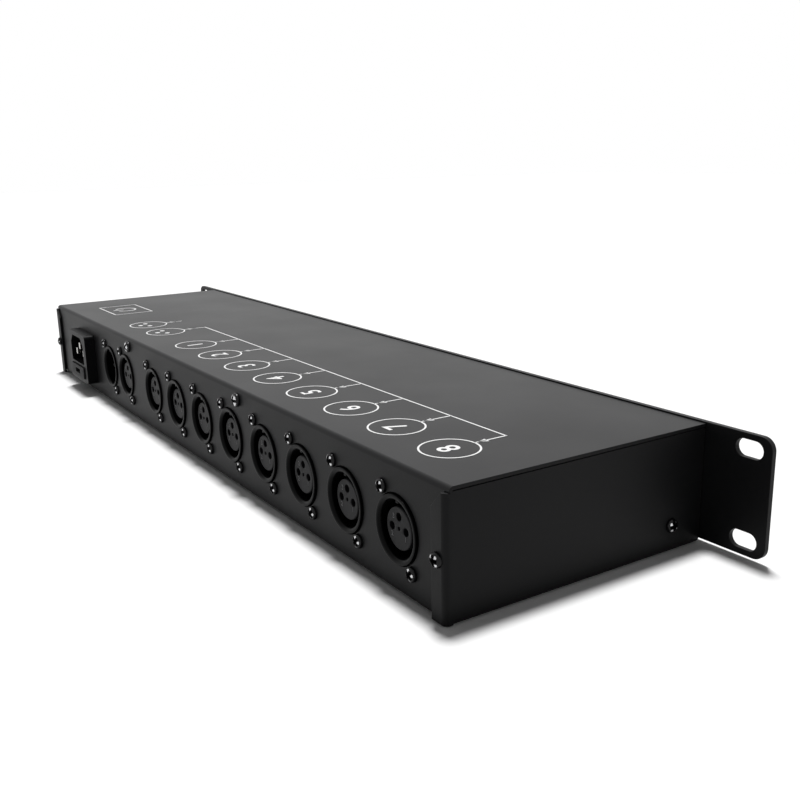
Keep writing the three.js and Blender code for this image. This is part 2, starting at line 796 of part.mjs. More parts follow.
// Power rocker: a frame snapped into the front panel and a lid that tips about its pins
function rockerFrameSolid() {
  const frontY = panelFrontY - rocker.frameProud;
  const backY = panelFrontY + rocker.frameDepth;
  const lipWidth = frameBodyWidth + 2 * rocker.frameLip;
  const lipHeight = frameBodyHeight + 2 * rocker.frameLip;
  const lipShape = roundedRectangle(rockerX, panelCentreZ, lipWidth, lipHeight, rocker.frameCorner);
  const lip = extrudeAlongY(lipShape, frontY, panelFrontY - seatGap);
  const bodyShape = roundedRectangle(
    rockerX,
    panelCentreZ,
    frameBodyWidth,
    frameBodyHeight,
    rocker.frameCorner,
  );
  const body = extrudeAlongY(bodyShape, frontY + overrun, backY);
  const window = block(
    rockerX - windowWidth / 2,
    rockerX + windowWidth / 2,
    frontY - overrun,
    backY - rocker.frameWall,
    panelCentreZ - windowHeight / 2,
    panelCentreZ + windowHeight / 2,
  );
  const pinReach = rocker.lidWidth / 2 + rocker.pinReach;
  const pinHole = rodAlongX(
    rocker.pinDiameter + fitGap,
    pivotY,
    panelCentreZ,
    rockerX - pinReach,
    rockerX + pinReach,
  );
  return cutAll(lip.add(body), [window, pinHole]);
}

// The lid's outline is drawn about its pins, with -Y outwards
function rockerLidSolid() {
  const { halfLength, faceAtCentre, faceAtEnd, bodyRadius, lidWidth } = rocker;
  const outline = new THREE.Shape();
  outline.moveTo(-faceAtEnd, -halfLength);
  outline.lineTo(-faceAtCentre, 0);
  outline.lineTo(-faceAtEnd, halfLength);
  outline.lineTo(-faceAtEnd + faceAtCentre / 2, halfLength);
  outline.lineTo(0, bodyRadius);
  outline.absarc(0, 0, bodyRadius, Math.PI / 2, -Math.PI / 2, true);
  outline.lineTo(-faceAtEnd + faceAtCentre / 2, -halfLength);
  const lid = extrudeAlongX(outline, -lidWidth / 2, lidWidth / 2);
  const pinReach = lidWidth / 2 + rocker.pinReach - fitGap;
  return lid.add(rodAlongX(rocker.pinDiameter, 0, 0, -pinReach, pinReach));
}

// Inside the case
function connectorBoardSolid() {
  const places = connectors.map(({ x }) => x);
  return block(
    Math.min(...places) - board.sideMargin,
    Math.max(...places) + board.sideMargin,
    boardFaceY - board.thickness,
    boardFaceY,
    board.bottom,
    lidUndersideZ - fitGap - bracket.thickness - fitGap,
  );
}

function boardBracketSolid() {
  const frontY = rearInnerY - fitGap;
  const backY = boardFaceY - board.thickness;
  const topZ = lidUndersideZ - fitGap;
  const legBottomZ = xlrZ + xlrFlangeHeight / 2 + fitGap;
  const profile = new THREE.Shape();
  profile.moveTo(frontY, legBottomZ);
  profile.lineTo(frontY, topZ);
  profile.lineTo(backY, topZ);
  profile.lineTo(backY, topZ - bracket.thickness);
  profile.lineTo(frontY - bracket.thickness, topZ - bracket.thickness);
  profile.lineTo(frontY - bracket.thickness, legBottomZ);
  const [left, right] = bracketScrewPlaces;
  const strip = extrudeAlongX(profile, left.x - bracket.overhang, right.x + bracket.overhang);
  const holeDiameter = largeScrew.shankDiameter + 2 * seatGap;
  const holeBackY = frontY - bracket.thickness - overrun;
  const holes = bracketScrewPlaces.map(({ x }) =>
    rodAlongY(holeDiameter, x, bracketScrewZ, holeBackY, frontY + overrun));
  return cutAll(strip, holes);
}

function powerSupplySolid() {
  const left = inletX - supply.width / 2;
  const right = inletX + supply.width / 2;
  const front = panelRearY + supply.setback;
  const rear = front + supply.depth;
  const middleY = (front + rear) / 2;
  const footTop = sheet + fitGap + supply.footHeight;
  const boardTop = footTop + supply.boardThickness;
  const deck = block(left, right, front, rear, footTop, boardTop);
  const embedZ = footTop + supply.boardThickness / 2;
  const feet = [left + supply.footInset, right - supply.footInset].flatMap((x) =>
    [front + supply.footInset, rear - supply.footInset].map((y) =>
      rodAlongZ(supply.footDiameter, x, y, sheet + fitGap, embedZ)));
  const partTop = boardTop + supply.height;
  const coil = block(
    inletX - supply.coilWidth / 2,
    inletX + supply.coilWidth / 2,
    middleY - supply.coilDepth / 2,
    middleY + supply.coilDepth / 2,
    embedZ,
    partTop - supply.partMargin,
  );
  const canX = left + supply.partMargin + supply.canDiameter / 2;
  const can = rodAlongZ(supply.canDiameter, canX, middleY, embedZ, partTop, segments.medium);
  const sinkX = right - supply.partMargin;
  const sink = block(
    sinkX - supply.sinkThickness,
    sinkX,
    front + 2 * supply.footInset,
    rear - 2 * supply.footInset,
    embedZ,
    partTop,
  );
  return joinAll([deck, ...feet, coil, can, sink]);
}

// Assembly
addPiece('top_cover', topCoverSolid(), powderCoat);
addPiece('base_tray', baseTraySolid(), powderCoat);
addPiece('front_panel', frontPanelSolid(), powderCoat);
addPiece('indicator_light_pipe', indicatorSolid(), clearPlastic);
for (const { name, x, male } of connectors) {
  addPiece(`${name}_shell`, shellSolid(x), shellMetal);
  addPiece(`${name}_insert`, male ? maleInsertSolid(x) : femaleInsertSolid(x), insertPlastic);
  for (const place of connectorScrewPlaces(x)) {
    const screw = screwSolid(smallScrew, place.x, place.z, rearOuterY);
    addPiece(`${name}_screw_${place.label}`, screw, screwMetal);
  }
}
for (const { label, x } of bracketScrewPlaces) {
  addPiece(`bracket_screw_${label}`, screwSolid(largeScrew, x, bracketScrewZ, rearOuterY), screwMetal);
}
for (const [label, side] of [['left', -1], ['right', 1]]) {
  const flangeScrew = screwSolid(smallScrew, side * flangeScrewX, flangeScrewZ, flangeOuterY);
  addPiece(`flange_screw_${label}`, flangeScrew, screwMetal);
  const sideScrew = addPiece(`side_screw_${label}`, screwSolid(smallScrew, 0, 0, 0), screwMetal);
  sideScrew.position.set(side * sideOuterX, sideScrewY, sideScrewHeight);
  sideScrew.rotation.z = (-side * Math.PI) / 2;
}
addPiece('inlet_housing', inletHousingSolid(), blackPlastic);
for (const blade of blades) {
  addPiece(blade.name, bladeSolid(blade), contactMetal);
}
addPiece('fuse_drawer', drawerSolid(), blackPlastic);
addPiece('rocker_frame', rockerFrameSolid(), blackPlastic);
const rockerGroup = new THREE.Group();
rockerGroup.position.set(rockerX, pivotY, panelCentreZ);
rockerGroup.rotation.x = rocker.tilt;
splitter.add(rockerGroup);
addPiece('power_rocker', rockerLidSolid(), blackPlastic, rockerGroup);
addPiece('connector_board', connectorBoardSolid(), boardGreen);
addPiece('board_bracket', boardBracketSolid(), zincSteel);
addPiece('power_supply', powerSupplySolid(), zincSteel);

// The bounding box is centred on Y
const bounds = new THREE.Box3().setFromObject(splitter);
splitter.position.y = -(bounds.min.y + bounds.max.y) / 2;

export default splitter;
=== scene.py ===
"""The visible model of a one-unit rack splitter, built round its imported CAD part. Metres, +Z up."""
import json
import logging
import math
from collections.abc import Callable, Iterable, Sequence
from dataclasses import dataclass
from enum import Enum

import bmesh
import bpy
from bmesh.types import BMEdge, BMesh, BMFace, BMVert
from bpy.types import NodeSocket
from mathutils import Matrix, Vector


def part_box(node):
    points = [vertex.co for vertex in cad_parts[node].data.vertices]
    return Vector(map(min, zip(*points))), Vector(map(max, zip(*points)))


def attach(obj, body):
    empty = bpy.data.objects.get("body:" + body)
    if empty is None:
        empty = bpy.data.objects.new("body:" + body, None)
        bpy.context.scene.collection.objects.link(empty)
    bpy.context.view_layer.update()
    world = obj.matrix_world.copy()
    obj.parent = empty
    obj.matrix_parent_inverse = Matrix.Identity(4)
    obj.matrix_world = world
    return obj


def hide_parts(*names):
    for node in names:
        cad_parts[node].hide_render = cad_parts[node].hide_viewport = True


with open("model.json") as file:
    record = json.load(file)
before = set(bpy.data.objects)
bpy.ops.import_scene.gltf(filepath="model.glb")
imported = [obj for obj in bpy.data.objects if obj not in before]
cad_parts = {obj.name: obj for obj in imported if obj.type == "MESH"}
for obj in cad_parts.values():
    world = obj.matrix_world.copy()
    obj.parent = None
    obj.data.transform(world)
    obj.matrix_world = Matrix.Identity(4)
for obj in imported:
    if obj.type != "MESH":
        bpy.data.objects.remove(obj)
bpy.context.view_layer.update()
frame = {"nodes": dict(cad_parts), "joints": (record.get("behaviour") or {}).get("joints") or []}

MM = 0.001
QUARTER = math.pi / 2
GOLDEN_TURN = math.pi * (3 - math.sqrt(5))

# Vertices closer than MERGE are one. A vertex within NEAR of a plane or a circle lies on it, a face
# whose normal has more than FACING along a direction faces it, and a corner's round takes at most
# CORNER_LIMIT of half a side, so that two rounds never meet.
MERGE = 1e-6
NEAR = 0.01 * MM
FACING = 0.99
CORNER_LIMIT = 0.999

# The sheet steel's thickness and its screws' holes, and where a connector's contacts stand.
SHEET = 1.2 * MM
SCREW_HOLE = 1.75 * MM
SCREW_HOLE_SIDES = 20
CONTACT_WAYS = ((1, 0), (0, 1), (-1, 0))

# The greys of a circuit board's pattern, two bricks with mortar between them, and how far a brushed
# grain is drawn out along X.
TRACK_GREYS = {"Color1": 0.2, "Color2": 0.35, "Mortar": 1.0}
BRUSH_STRETCH = (0.04, 1, 1)

log = logging.getLogger("splitter")


class Body(Enum):
    """The bodies that pieces ride on."""

    CASE = "case"
    DRAWER = "drawer"
    ROCKER = "rocker"


class Grain(Enum):
    """The fine surface patterns that a finish can have."""

    POWDER = "powder"
    MOULDED = "moulded"
    BRUSHED = "brushed"
    SPANGLED = "spangled"
    TRACKED = "tracked"


class Graph:
    """The nodes of a material or of the world, with short ways to add to them."""

    def __init__(self, owner: bpy.types.Material | bpy.types.World) -> None:
        """Switches the owner's nodes on."""
        owner.use_nodes = True
        self.nodes, self.links = owner.node_tree.nodes, owner.node_tree.links

    def fill(self, node: bpy.types.Node, inputs: dict[str | int, object]) -> None:
        """Gives a node's inputs their values.

        Args:
            node: The node.
            inputs: A constant, or the socket of another node, for each input.
        """
        for name, value in inputs.items():
            if isinstance(value, NodeSocket):
                self.links.new(value, node.inputs[name])
            else:
                node.inputs[name].default_value = value

    def add(
        self,
        kind: str,
        output: str | int,
        inputs: dict[str | int, object] | None = None,
        **settings: str,
    ) -> NodeSocket:
        """Adds a node.

        Args:
            kind: The node's type.
            output: The name or number of the output that is wanted.
            inputs: A constant, or the socket of another node, for each input.
            **settings: The node's own settings.

        Returns:
            The output's socket.
        """
        node = self.nodes.new(kind)
        for name, value in settings.items():
            setattr(node, name, value)
        self.fill(node, inputs or {})
        return node.outputs[output]

    def noise(self, place: NodeSocket, size: float, detail: float) -> NodeSocket:
        """Adds a noise texture.

        Args:
            place: The socket of the coordinates.
            size: The width of one blot, in metres.
            detail: The number of finer layers.

        Returns:
            The socket of the noise, from 0 to 1.
        """
        inputs = {"Scale": 1 / size, "Detail": detail, "Vector": place}
        return self.add("ShaderNodeTexNoise", "Fac", inputs)

    def ranged(self, share: NodeSocket, low: float, high: float) -> NodeSocket:
        """Returns a value that goes from low to high as the share goes from 0 to 1."""
        inputs = {"Value": share, "To Min": low, "To Max": high}
        return self.add("ShaderNodeMapRange", "Result", inputs)


@dataclass(frozen=True)
class Finish:
    """A surface: its colour, its gloss and its grain.

    Attributes:
        name: The material's name.
        slot: The record's material slot, which nothing in this script reads.
        colour: The base colour, linear.
        roughness: The middle roughness.
        grain: The pattern of the fine surface.
        grain_size: The width of one grain, in metres.
        grain_depth: The height of the grain, in metres.
        grain_share: The grain's share in the tint, of which the slow drift has the rest.
        relief: The strength of the grain's bump.
        cloud: The share by which the colour and roughness drift over the surface.
        cloud_size: The width of one drift, in metres.
        metallic: 1 for a bare metal.
        specular: The specular level.
        transmission: The weight of light that passes through.
    """

    name: str
    slot: str
    colour: tuple[float, float, float]
    roughness: float
    grain: Grain = Grain.POWDER
    grain_size: float = 0.6 * MM
    grain_depth: float = 0.03 * MM
    grain_share: float = 0.5
    relief: float = 0.6
    cloud: float = 0.12
    cloud_size: float = 35 * MM
    metallic: float = 0.0
    specular: float = 0.5
    transmission: float = 0.0

    def material(self) -> bpy.types.Material:
        """Returns the finish's material, made on its first use."""
        return bpy.data.materials.get(self.name) or self._made()

    def _made(self) -> bpy.types.Material:
        """Builds the material's nodes.

        Returns:
            The new material.
        """
        material = bpy.data.materials.new(self.name)
        graph = Graph(material)
        place = graph.add("ShaderNodeTexCoord", "Object")
        height, tint = self._pattern(graph, place)
        drift = graph.noise(place, self.cloud_size, detail=3)
        inputs = {0: drift, 1: 1 - self.grain_share}
        slow = graph.add("ShaderNodeMath", 0, inputs, operation="MULTIPLY")
        inputs = {0: tint, 1: self.grain_share, 2: slow}
        mixed = graph.add("ShaderNodeMath", 0, inputs, operation="MULTIPLY_ADD")
        inputs = {
            "Factor": mixed,
            "A": shaded(self.colour, 1 - self.cloud),
            "B": shaded(self.colour, 1 + self.cloud),
        }
        colour = graph.add("ShaderNodeMix", "Result", inputs, data_type="RGBA")
        low, high = (self.roughness * (1 + side * self.cloud / 2) for side in (-1, 1))
        inputs = {"Strength": self.relief, "Distance": self.grain_depth, "Height": height}
        normal = graph.add("ShaderNodeBump", "Normal", inputs)
        inputs = {
            "Metallic": self.metallic,
            "Specular IOR Level": self.specular,
            "Transmission Weight": self.transmission,
            "Base Color": colour,
            "Roughness": graph.ranged(drift, low, high),
            "Normal": normal,
        }
        graph.fill(graph.nodes["Principled BSDF"], inputs)
        return material

    def _pattern(self, graph: Graph, place: NodeSocket) -> tuple[NodeSocket, NodeSocket]:
        """Adds the nodes of the fine surface.

        Args:
            graph: The material's nodes.
            place: The socket of object coordinates.

        Returns:
            The sockets of the grain's height and of its tint, both from 0 to 1.
        """
        inputs = {"Scale": 1 / self.grain_size, "Vector": place}
        if self.grain is Grain.POWDER:
            grain = graph.noise(place, self.grain_size, detail=2)
        elif self.grain is Grain.MOULDED:
            grain = graph.add("ShaderNodeTexVoronoi", "Distance", inputs, feature="SMOOTH_F1")
        elif self.grain is Grain.BRUSHED:
            stretch = {"Scale": BRUSH_STRETCH, "Vector": place}
            along = graph.add("ShaderNodeMapping", "Vector", stretch)
            grain = graph.noise(along, self.grain_size, detail=3)
        elif self.grain is Grain.SPANGLED:
            height = graph.add("ShaderNodeTexVoronoi", "Distance", inputs)
            return height, height.node.outputs["Color"]
        else:
            turn = {"Rotation": (QUARTER, 0, 0), "Vector": place}
            inputs["Vector"] = graph.add("ShaderNodeMapping", "Vector", turn)
            inputs |= {name: (grey, grey, grey, 1) for name, grey in TRACK_GREYS.items()}
            grain = graph.add("ShaderNodeTexBrick", "Color", inputs)
        return grain, grain


def shaded(colour: Sequence[float], share: float) -> tuple[float, ...]:
    """Returns the colour times a share, with its alpha."""
    return (*(min(1.0, channel * share) for channel in colour), 1.0)


POWDER_COAT = Finish(
    "powder_coat",
    "case_coat",
    (0.0065, 0.0065, 0.007),
    0.46,
    cloud=0.2,
    specular=0.11,
)
SHELL_BLACK = Finish(
    "satin_black_zinc",
    "connector_shell",
    (0.0022, 0.0022, 0.0024),
    0.3,
    grain_size=1.2 * MM,
    grain_depth=0.01 * MM,
    specular=0.05,
)
INSERT_GREY = Finish(
    "moulded_insert",
    "connector_insert",
    (0.013, 0.013, 0.014),
    0.45,
    Grain.MOULDED,
    grain_size=0.5 * MM,
    specular=0.1,
)
CONTACT_GREY = Finish(
    "contact_number_grey",
    "connector_insert",
    (0.16, 0.16, 0.165),
    0.5,
    grain_size=0.5 * MM,
    grain_depth=0.005 * MM,
    specular=0.2,
)
BLACK_STEEL = Finish(
    "glossy_black_steel",
    "black_screw",
    (0.005, 0.005, 0.0055),
    0.2,
    grain_size=0.8 * MM,
    grain_depth=0.004 * MM,
    specular=0.2,
)
# Bright steel for the patches between the screw slots: a painted highlight, standing in for the
# glints of light on the black heads.
HIGHLIGHT_STEEL = Finish(
    "painted_highlight_steel",
    "black_screw",
    (0.6, 0.6, 0.61),
    0.16,
    grain_size=0.5 * MM,
    grain_depth=0.004 * MM,
    metallic=1.0,
)
BLACK_PLASTIC = Finish(
    "moulded_black",
    "black_plastic",
    (0.004, 0.004, 0.0044),
    0.42,
    Grain.MOULDED,
    grain_size=0.55 * MM,
    specular=0.075,
)
ROUGH_PLASTIC = Finish(
    "coarse_moulded_black",
    "black_plastic",
    (0.009, 0.009, 0.0095),
    0.6,
    Grain.MOULDED,
    grain_size=0.9 * MM,
    grain_depth=0.12 * MM,
    specular=0.15,
)
NICKEL = Finish(
    "nickel_plate",
    "blade_metal",
    (0.45, 0.44, 0.42),
    0.22,
    Grain.BRUSHED,
    grain_size=0.3 * MM,
    grain_depth=0.005 * MM,
    metallic=1.0,
)
LENS = Finish(
    "clear_lens",
    "light_lens",
    (0.6, 0.64, 0.65),
    0.25,
    grain_size=2 * MM,
    grain_depth=0.005 * MM,
    transmission=0.25,
)
BOARD_GREEN = Finish(
    "solder_mask",
    "circuit_board",
    (0.02, 0.12, 0.05),
    0.35,
    Grain.TRACKED,
    grain_size=6 * MM,
    cloud=0.35,
)
ZINC = Finish(
    "zinc_plate",
    "zinc_steel",
    (0.5, 0.51, 0.52),
    0.38,
    Grain.SPANGLED,
    grain_size=4 * MM,
    grain_depth=0.01 * MM,
    metallic=0.9,
)
PRINT_INK = Finish(
    "white_print",
    "case_coat",
    (0.78, 0.78, 0.78),
    0.55,
    grain_size=0.4 * MM,
    grain_depth=0.01 * MM,
    cloud=0.06,
)


# Mesh work


def once(items: Iterable[BMVert | BMEdge]) -> list[BMVert | BMEdge]:
    """Returns each item once, in the order given, so that every run builds the same mesh."""
    return list(dict.fromkeys(items))


def chain(bm: BMesh, points: Iterable[Sequence[float]], closed: bool = True) -> list[BMEdge]:
    """Draws a line of new vertices.

    Args:
        bm: The mesh.
        points: The places of the vertices.
        closed: True to join the last vertex to the first.

    Returns:
        The line's edges.
    """
    verts = [bm.verts.new(point) for point in points]
    pairs = list(zip(verts, verts[1:]))
    if closed:
        pairs.append((verts[-1], verts[0]))
    return [bm.edges.new(pair) for pair in pairs]


def ring(
    bm: BMesh, centre: Vector, radius: float, count: int, along: str = "Y"
) -> list[BMEdge]:
    """Draws a circle.

    Args:
        bm: The mesh.
        centre: The circle's centre.
        radius: Its radius.
        count: The number of its sides.
        along: The axis that it turns about.

    Returns:
        The circle's edges.
    """
    turn = Matrix.Rotation(QUARTER, 4, "X" if along == "Y" else "Y")
    place = Matrix.Translation(centre) @ turn
    made = bmesh.ops.create_circle(bm, cap_ends=False, radius=radius, segments=count, matrix=place)
    return once(edge for vert in made["verts"] for edge in vert.link_edges)


def screw_hole(bm: BMesh, centre: Vector, along: str = "Y") -> list[BMEdge]:
    """Draws the hole that a screw goes through."""
    return ring(bm, centre, SCREW_HOLE, SCREW_HOLE_SIDES, along)


def rounded(
    bm: BMesh, centre: Vector, width: float, height: float, radius: float, steps: int = 6
) -> list[BMEdge]:
    """Draws a rectangle with round corners, flat in Y.

    Args:
        bm: The mesh.
        centre: The rectangle's middle.
        width: Its size along X.
        height: Its size along Z.
        radius: The radius of its corners.
        steps: The sides of each corner.

    Returns:
        The outline's edges.
    """
    half_x, half_z = width / 2, height / 2
    corners = [(-half_x, -half_z), (half_x, -half_z), (half_x, half_z), (-half_x, half_z)]
    edges = chain(bm, [(centre.x + x, centre.y, centre.z + z) for x, z in corners])
    face = bmesh.ops.contextual_create(bm, geom=edges)["faces"][0]
    made = bmesh.ops.bevel(
        bm,
        geom=list(face.verts),
        offset=min(radius, half_x * CORNER_LIMIT, half_z * CORNER_LIMIT),
        offset_type="OFFSET",
        segments=steps,
        profile=0.5,
        affect="VERTICES",
        material=-1,
    )
    face = made["verts"][0].link_faces[0]
    edges = list(face.edges)
    bmesh.ops.delete(bm, geom=[face], context="FACES_ONLY")
    return edges


def filled(bm: BMesh, edges: Sequence[BMEdge]) -> list[BMFace]:
    """Fills a flat outline, and leaves the outlines inside it open.

    Args:
        bm: The mesh.
        edges: The outer outline and the holes' outlines.

    Returns:
        The new faces.
    """
    made = bmesh.ops.triangle_fill(bm, use_beauty=True, use_dissolve=False, edges=edges)
    return [item for item in made["geom"] if isinstance(item, BMFace)]


def pushed(bm: BMesh, faces: Sequence[BMFace], way: Vector) -> list[BMVert]:
    """Extrudes faces as one, and opens the place that they leave in a larger surface.

    Args:
        bm: The mesh.
        faces: The faces.
        way: How far they go.

    Returns:
        The vertices that moved.
    """
    edges = once(edge for face in faces for edge in face.edges)
    corners = once(vert for face in faces for vert in face.verts)
    made = bmesh.ops.extrude_face_region(bm, geom=[*faces, *edges, *corners])
    verts = [item for item in made["geom"] if isinstance(item, BMVert)]
    bmesh.ops.translate(bm, vec=way, verts=verts)
    return verts


def drawn(bm: BMesh, edges: Sequence[BMEdge], way: Vector) -> list[BMEdge]:
    """Extrudes edges.

    Args:
        bm: The mesh.
        edges: The edges.
        way: How far they go.

    Returns:
        The new edges at the far end.
    """
    made = bmesh.ops.extrude_edge_only(bm, edges=list(edges))["geom"]
    verts = [item for item in made if isinstance(item, BMVert)]
    bmesh.ops.translate(bm, vec=way, verts=verts)
    far = set(verts)
    return [item for item in made if isinstance(item, BMEdge) and far.issuperset(item.verts)]


def widened(
    bm: BMesh, edges: Sequence[BMEdge], centre: Vector, share: tuple[float, float, float]
) -> None:
    """Scales a loop about a point."""
    verts = once(vert for edge in edges for vert in edge.verts)
    bmesh.ops.scale(bm, vec=share, verts=verts, space=Matrix.Translation(-centre))


def bent(
    bm: BMesh, edges: Sequence[BMEdge], centre: Vector, axis: Vector, angle: float, steps: int = 8
) -> list[BMEdge]:
    """Bends a sheet on from its edges.

    Args:
        bm: The mesh.
        edges: The edges where the bend starts.
        centre: A point on the bend's axis.
        axis: The axis's direction.
        angle: The bend's angle.
        steps: The bend's flats.

    Returns:
        The edges where the bend ends.
    """
    verts = once(vert for edge in edges for vert in edge.verts)
    made = bmesh.ops.spin(
        bm,
        geom=[*edges, *verts],
        cent=centre,
        axis=axis,
        dvec=(0, 0, 0),
        angle=angle,
        steps=steps,
        use_merge=False,
        use_duplicate=False,
    )
    return [item for item in made["geom_last"] if isinstance(item, BMEdge)]


def closed_off(bm: BMesh, edges: Sequence[BMEdge], depth: float) -> None:
    """Draws a loop on along Y and closes its end."""
    bmesh.ops.contextual_create(bm, geom=drawn(bm, edges, Vector((0, depth, 0))))


def stepped(
    bm: BMesh,
    edges: Sequence[BMEdge],
    centre: Vector,
    first: float,
    share: tuple[float, float],
    second: float,
) -> None:
    """Draws an outline on along Y in two lengths with a step between them, and closes its end.

    Args:
        bm: The mesh.
        edges: The outline.
        centre: The point that the step is scaled about.
        first: The first length.
        share: The second length's width and height, as shares of the first's.
        second: The second length.
    """
    step = drawn(bm, drawn(bm, edges, Vector((0, first, 0))), Vector())
    widened(bm, step, centre, (share[0], 1, share[1]))
    closed_off(bm, step, second)


def windowed(bm: BMesh, out: Vector, low: Vector, high: Vector) -> list[BMFace]:
    """Cuts a rectangle free in the flat side of a mesh that faces one way.

    Args:
        bm: The mesh.
        out: The side's normal, along an axis.
        low: The rectangle's lowest corner.
        high: Its highest corner.

    Returns:
        The faces inside the rectangle.
    """
    across = [axis for axis in range(3) if not out[axis]]
    for axis in across:
        plane = Vector()
        plane[axis] = 1
        for corner in (low, high):
            side = [face for face in bm.faces if face.normal.dot(out) > FACING]
            parts = once(item for face in side for item in (*face.edges, *face.verts))
            bmesh.ops.bisect_plane(
                bm, geom=[*side, *parts], dist=MERGE, plane_co=corner, plane_no=plane
            )
    return [
        face
        for face in bm.faces
        if face.normal.dot(out) > FACING
        and all(low[axis] < face.calc_center_median()[axis] < high[axis] for axis in across)
    ]


def tidied(bm: BMesh) -> BMesh:
    """Joins doubled vertices and turns the faces outwards.

    Args:
        bm: The mesh.

    Returns:
        The mesh.
    """
    bmesh.ops.remove_doubles(bm, verts=bm.verts[:], dist=MERGE)
    bmesh.ops.recalc_face_normals(bm, faces=bm.faces[:])
    return bm


def softened(
    bm: BMesh,
    width: float,
    steps: int = 2,
    least: float = math.radians(50),
    chosen: Callable[[BMEdge], bool] = lambda edge: True,
) -> BMesh:
    """Rounds the sharp edges of a closed mesh.

    Args:
        bm: The mesh.
        width: The round's width.
        steps: The round's segments.
        least: The smallest angle between two faces that counts as sharp.
        chosen: A test that an edge must pass as well.

    Returns:
        The mesh.
    """
    sharp = [
        edge
        for edge in bm.edges
        if len(edge.link_faces) == 2 and edge.calc_face_angle() > least and chosen(edge)
    ]
    bmesh.ops.bevel(
        bm,
        geom=sharp,
        offset=width,
        offset_type="OFFSET",
        segments=steps,
        profile=0.5,
        affect="EDGES",
        clamp_overlap=True,
        material=-1,
    )
    return bm


def thickened(bm: BMesh, thickness: float, edge: float, way: int) -> BMesh:
    """Gives a folded sheet its thickness, inwards, and softens its edges.

    Args:
        bm: The sheet's outer side.
        thickness: The sheet's thickness.
        edge: The width of the round on its edges.
        way: 1 where the largest face looks up, and -1 where it looks down.

    Returns:
        The mesh.
    """
    tidied(bm)
    if way * max(bm.faces, key=lambda face: face.calc_area()).normal.z < 0:
        bmesh.ops.reverse_faces(bm, faces=bm.faces[:])
    bmesh.ops.solidify(bm, geom=bm.faces[:], thickness=thickness)
    return softened(tidied(bm), edge)


def turned(profile: Sequence[tuple[float, float]], steps: int, closed: bool = False) -> BMesh:
    """Turns a profile about the Y axis.

    Args:
        profile: Points of radius and Y.
        steps: The sides of the round.
        closed: True where the profile comes back to its start.

    Returns:
        The mesh.
    """
    bm = bmesh.new()
    chain(bm, [(radius, y, 0) for radius, y in profile], closed)
    bmesh.ops.spin(
        bm,
        geom=bm.verts[:] + bm.edges[:],
        cent=(0, 0, 0),
        axis=(0, 1, 0),
        dvec=(0, 0, 0),
        angle=math.tau,
        steps=steps,
        use_merge=True,
        use_duplicate=False,
    )
    return tidied(bm)


def rod(radius: float, start: float, end: float, steps: int) -> BMesh:
    """Makes a rod along the Y axis."""
    return turned([(0, start), (radius, start), (radius, end), (0, end)], steps)


def washer(inner: float, outer: float, start: float, end: float, steps: int) -> BMesh:
    """Makes a ring about the Y axis."""
    profile = [(inner, start), (outer, start), (outer, end), (inner, end)]
    return turned(profile, steps, closed=True)


def slab(low: Sequence[float], high: Sequence[float]) -> BMesh:
    """Makes a block.

    Args:
        low: Its lowest corner.
        high: Its highest corner.

    Returns:
        The mesh.
    """
    bm = bmesh.new()
    low, high = Vector(low), Vector(high)
    size = Matrix.Diagonal((*(high - low), 1))
    bmesh.ops.create_cube(bm, size=1, matrix=Matrix.Translation((low + high) / 2) @ size)
    return bm


def lettered(text: str, height: float, weight: float, thickness: float) -> BMesh:
    """Makes a number as a thin plate, flat in XY with its middle at the origin.

    Args:
        text: The number.
        height: The height of its line.
        weight: What its strokes are fattened by, as a share of the height.
        thickness: The plate's thickness.

    Returns:
        The mesh.
    """
    curve = bpy.data.curves.new("lettering", "FONT")
    curve.body = text
    curve.size = height
    curve.align_x, curve.align_y = "CENTER", "CENTER"
    curve.extrude = thickness / 2
    curve.offset = weight * height
    carrier = bpy.data.objects.new("lettering", curve)
    bpy.context.scene.collection.objects.link(carrier)
    bpy.context.view_layer.update()
    mesh = bpy.data.meshes.new_from_object(carrier)
    bm = bmesh.new()
    bm.from_mesh(mesh)
    bpy.data.objects.remove(carrier)
    bpy.data.curves.remove(curve)
    bpy.data.meshes.remove(mesh)
    return tidied(bm)


def merged(parts: Iterable[BMesh]) -> BMesh:
    """Puts several meshes in one.

    Args:
        parts: The meshes, which are freed.

    Returns:
        The whole.
    """
    whole = bmesh.new()
    for part in parts:
        carrier = bpy.data.meshes.new("carrier")
        part.to_mesh(carrier)
        part.free()
        whole.from_mesh(carrier)
        bpy.data.meshes.remove(carrier)
    return whole


def moved(bm: BMesh, matrix: Matrix) -> BMesh:
    """Moves a whole mesh."""
    bmesh.ops.transform(bm, matrix=matrix, verts=bm.verts[:])
    return bm


def piece(
    name: str,
    bm: BMesh,
    finish: Finish,
    replaced: Sequence[str] = (),
    body: Body = Body.CASE,
    crease: float = math.radians(35),
) -> bpy.types.Object:
    """Makes a mesh a finished piece of the object.

    Args:
        name: The piece's name.
        bm: Its mesh, which is freed.
        finish: Its surface.
        replaced: The CAD nodes that it stands for.
        body: The body that it rides on.
        crease: The angle between faces above which an edge stays sharp.

    Returns:
        The new object.
    """
    mesh = bpy.data.meshes.new(name)
    for face in bm.faces:
        face.smooth = True
    bm.to_mesh(mesh)
    bm.free()
    mesh.set_sharp_from_angle(angle=crease)
    mesh.materials.append(finish.material())
    made = bpy.data.objects.new(name, mesh)
    bpy.context.scene.collection.objects.link(made)
    weighted = made.modifiers.new("weighted_normals", "WEIGHTED_NORMAL")
    weighted.keep_sharp = True
    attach(made, body.value)
    if replaced:
        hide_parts(*replaced)
    log.info("%s: %d faces", name, len(mesh.polygons))
    return made


def middle_of(node: str) -> Vector:
    """Returns the middle of a CAD node's box."""
    low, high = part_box(node)
    return (low + high) / 2


def size_of(node: str) -> Vector:
    """Returns the size of a CAD node's box."""
    low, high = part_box(node)
    return high - low


def on_plane(point: Vector, y: float) -> Vector:
    """Returns a point moved along Y to a plane."""
    return Vector((point.x, y, point.z))


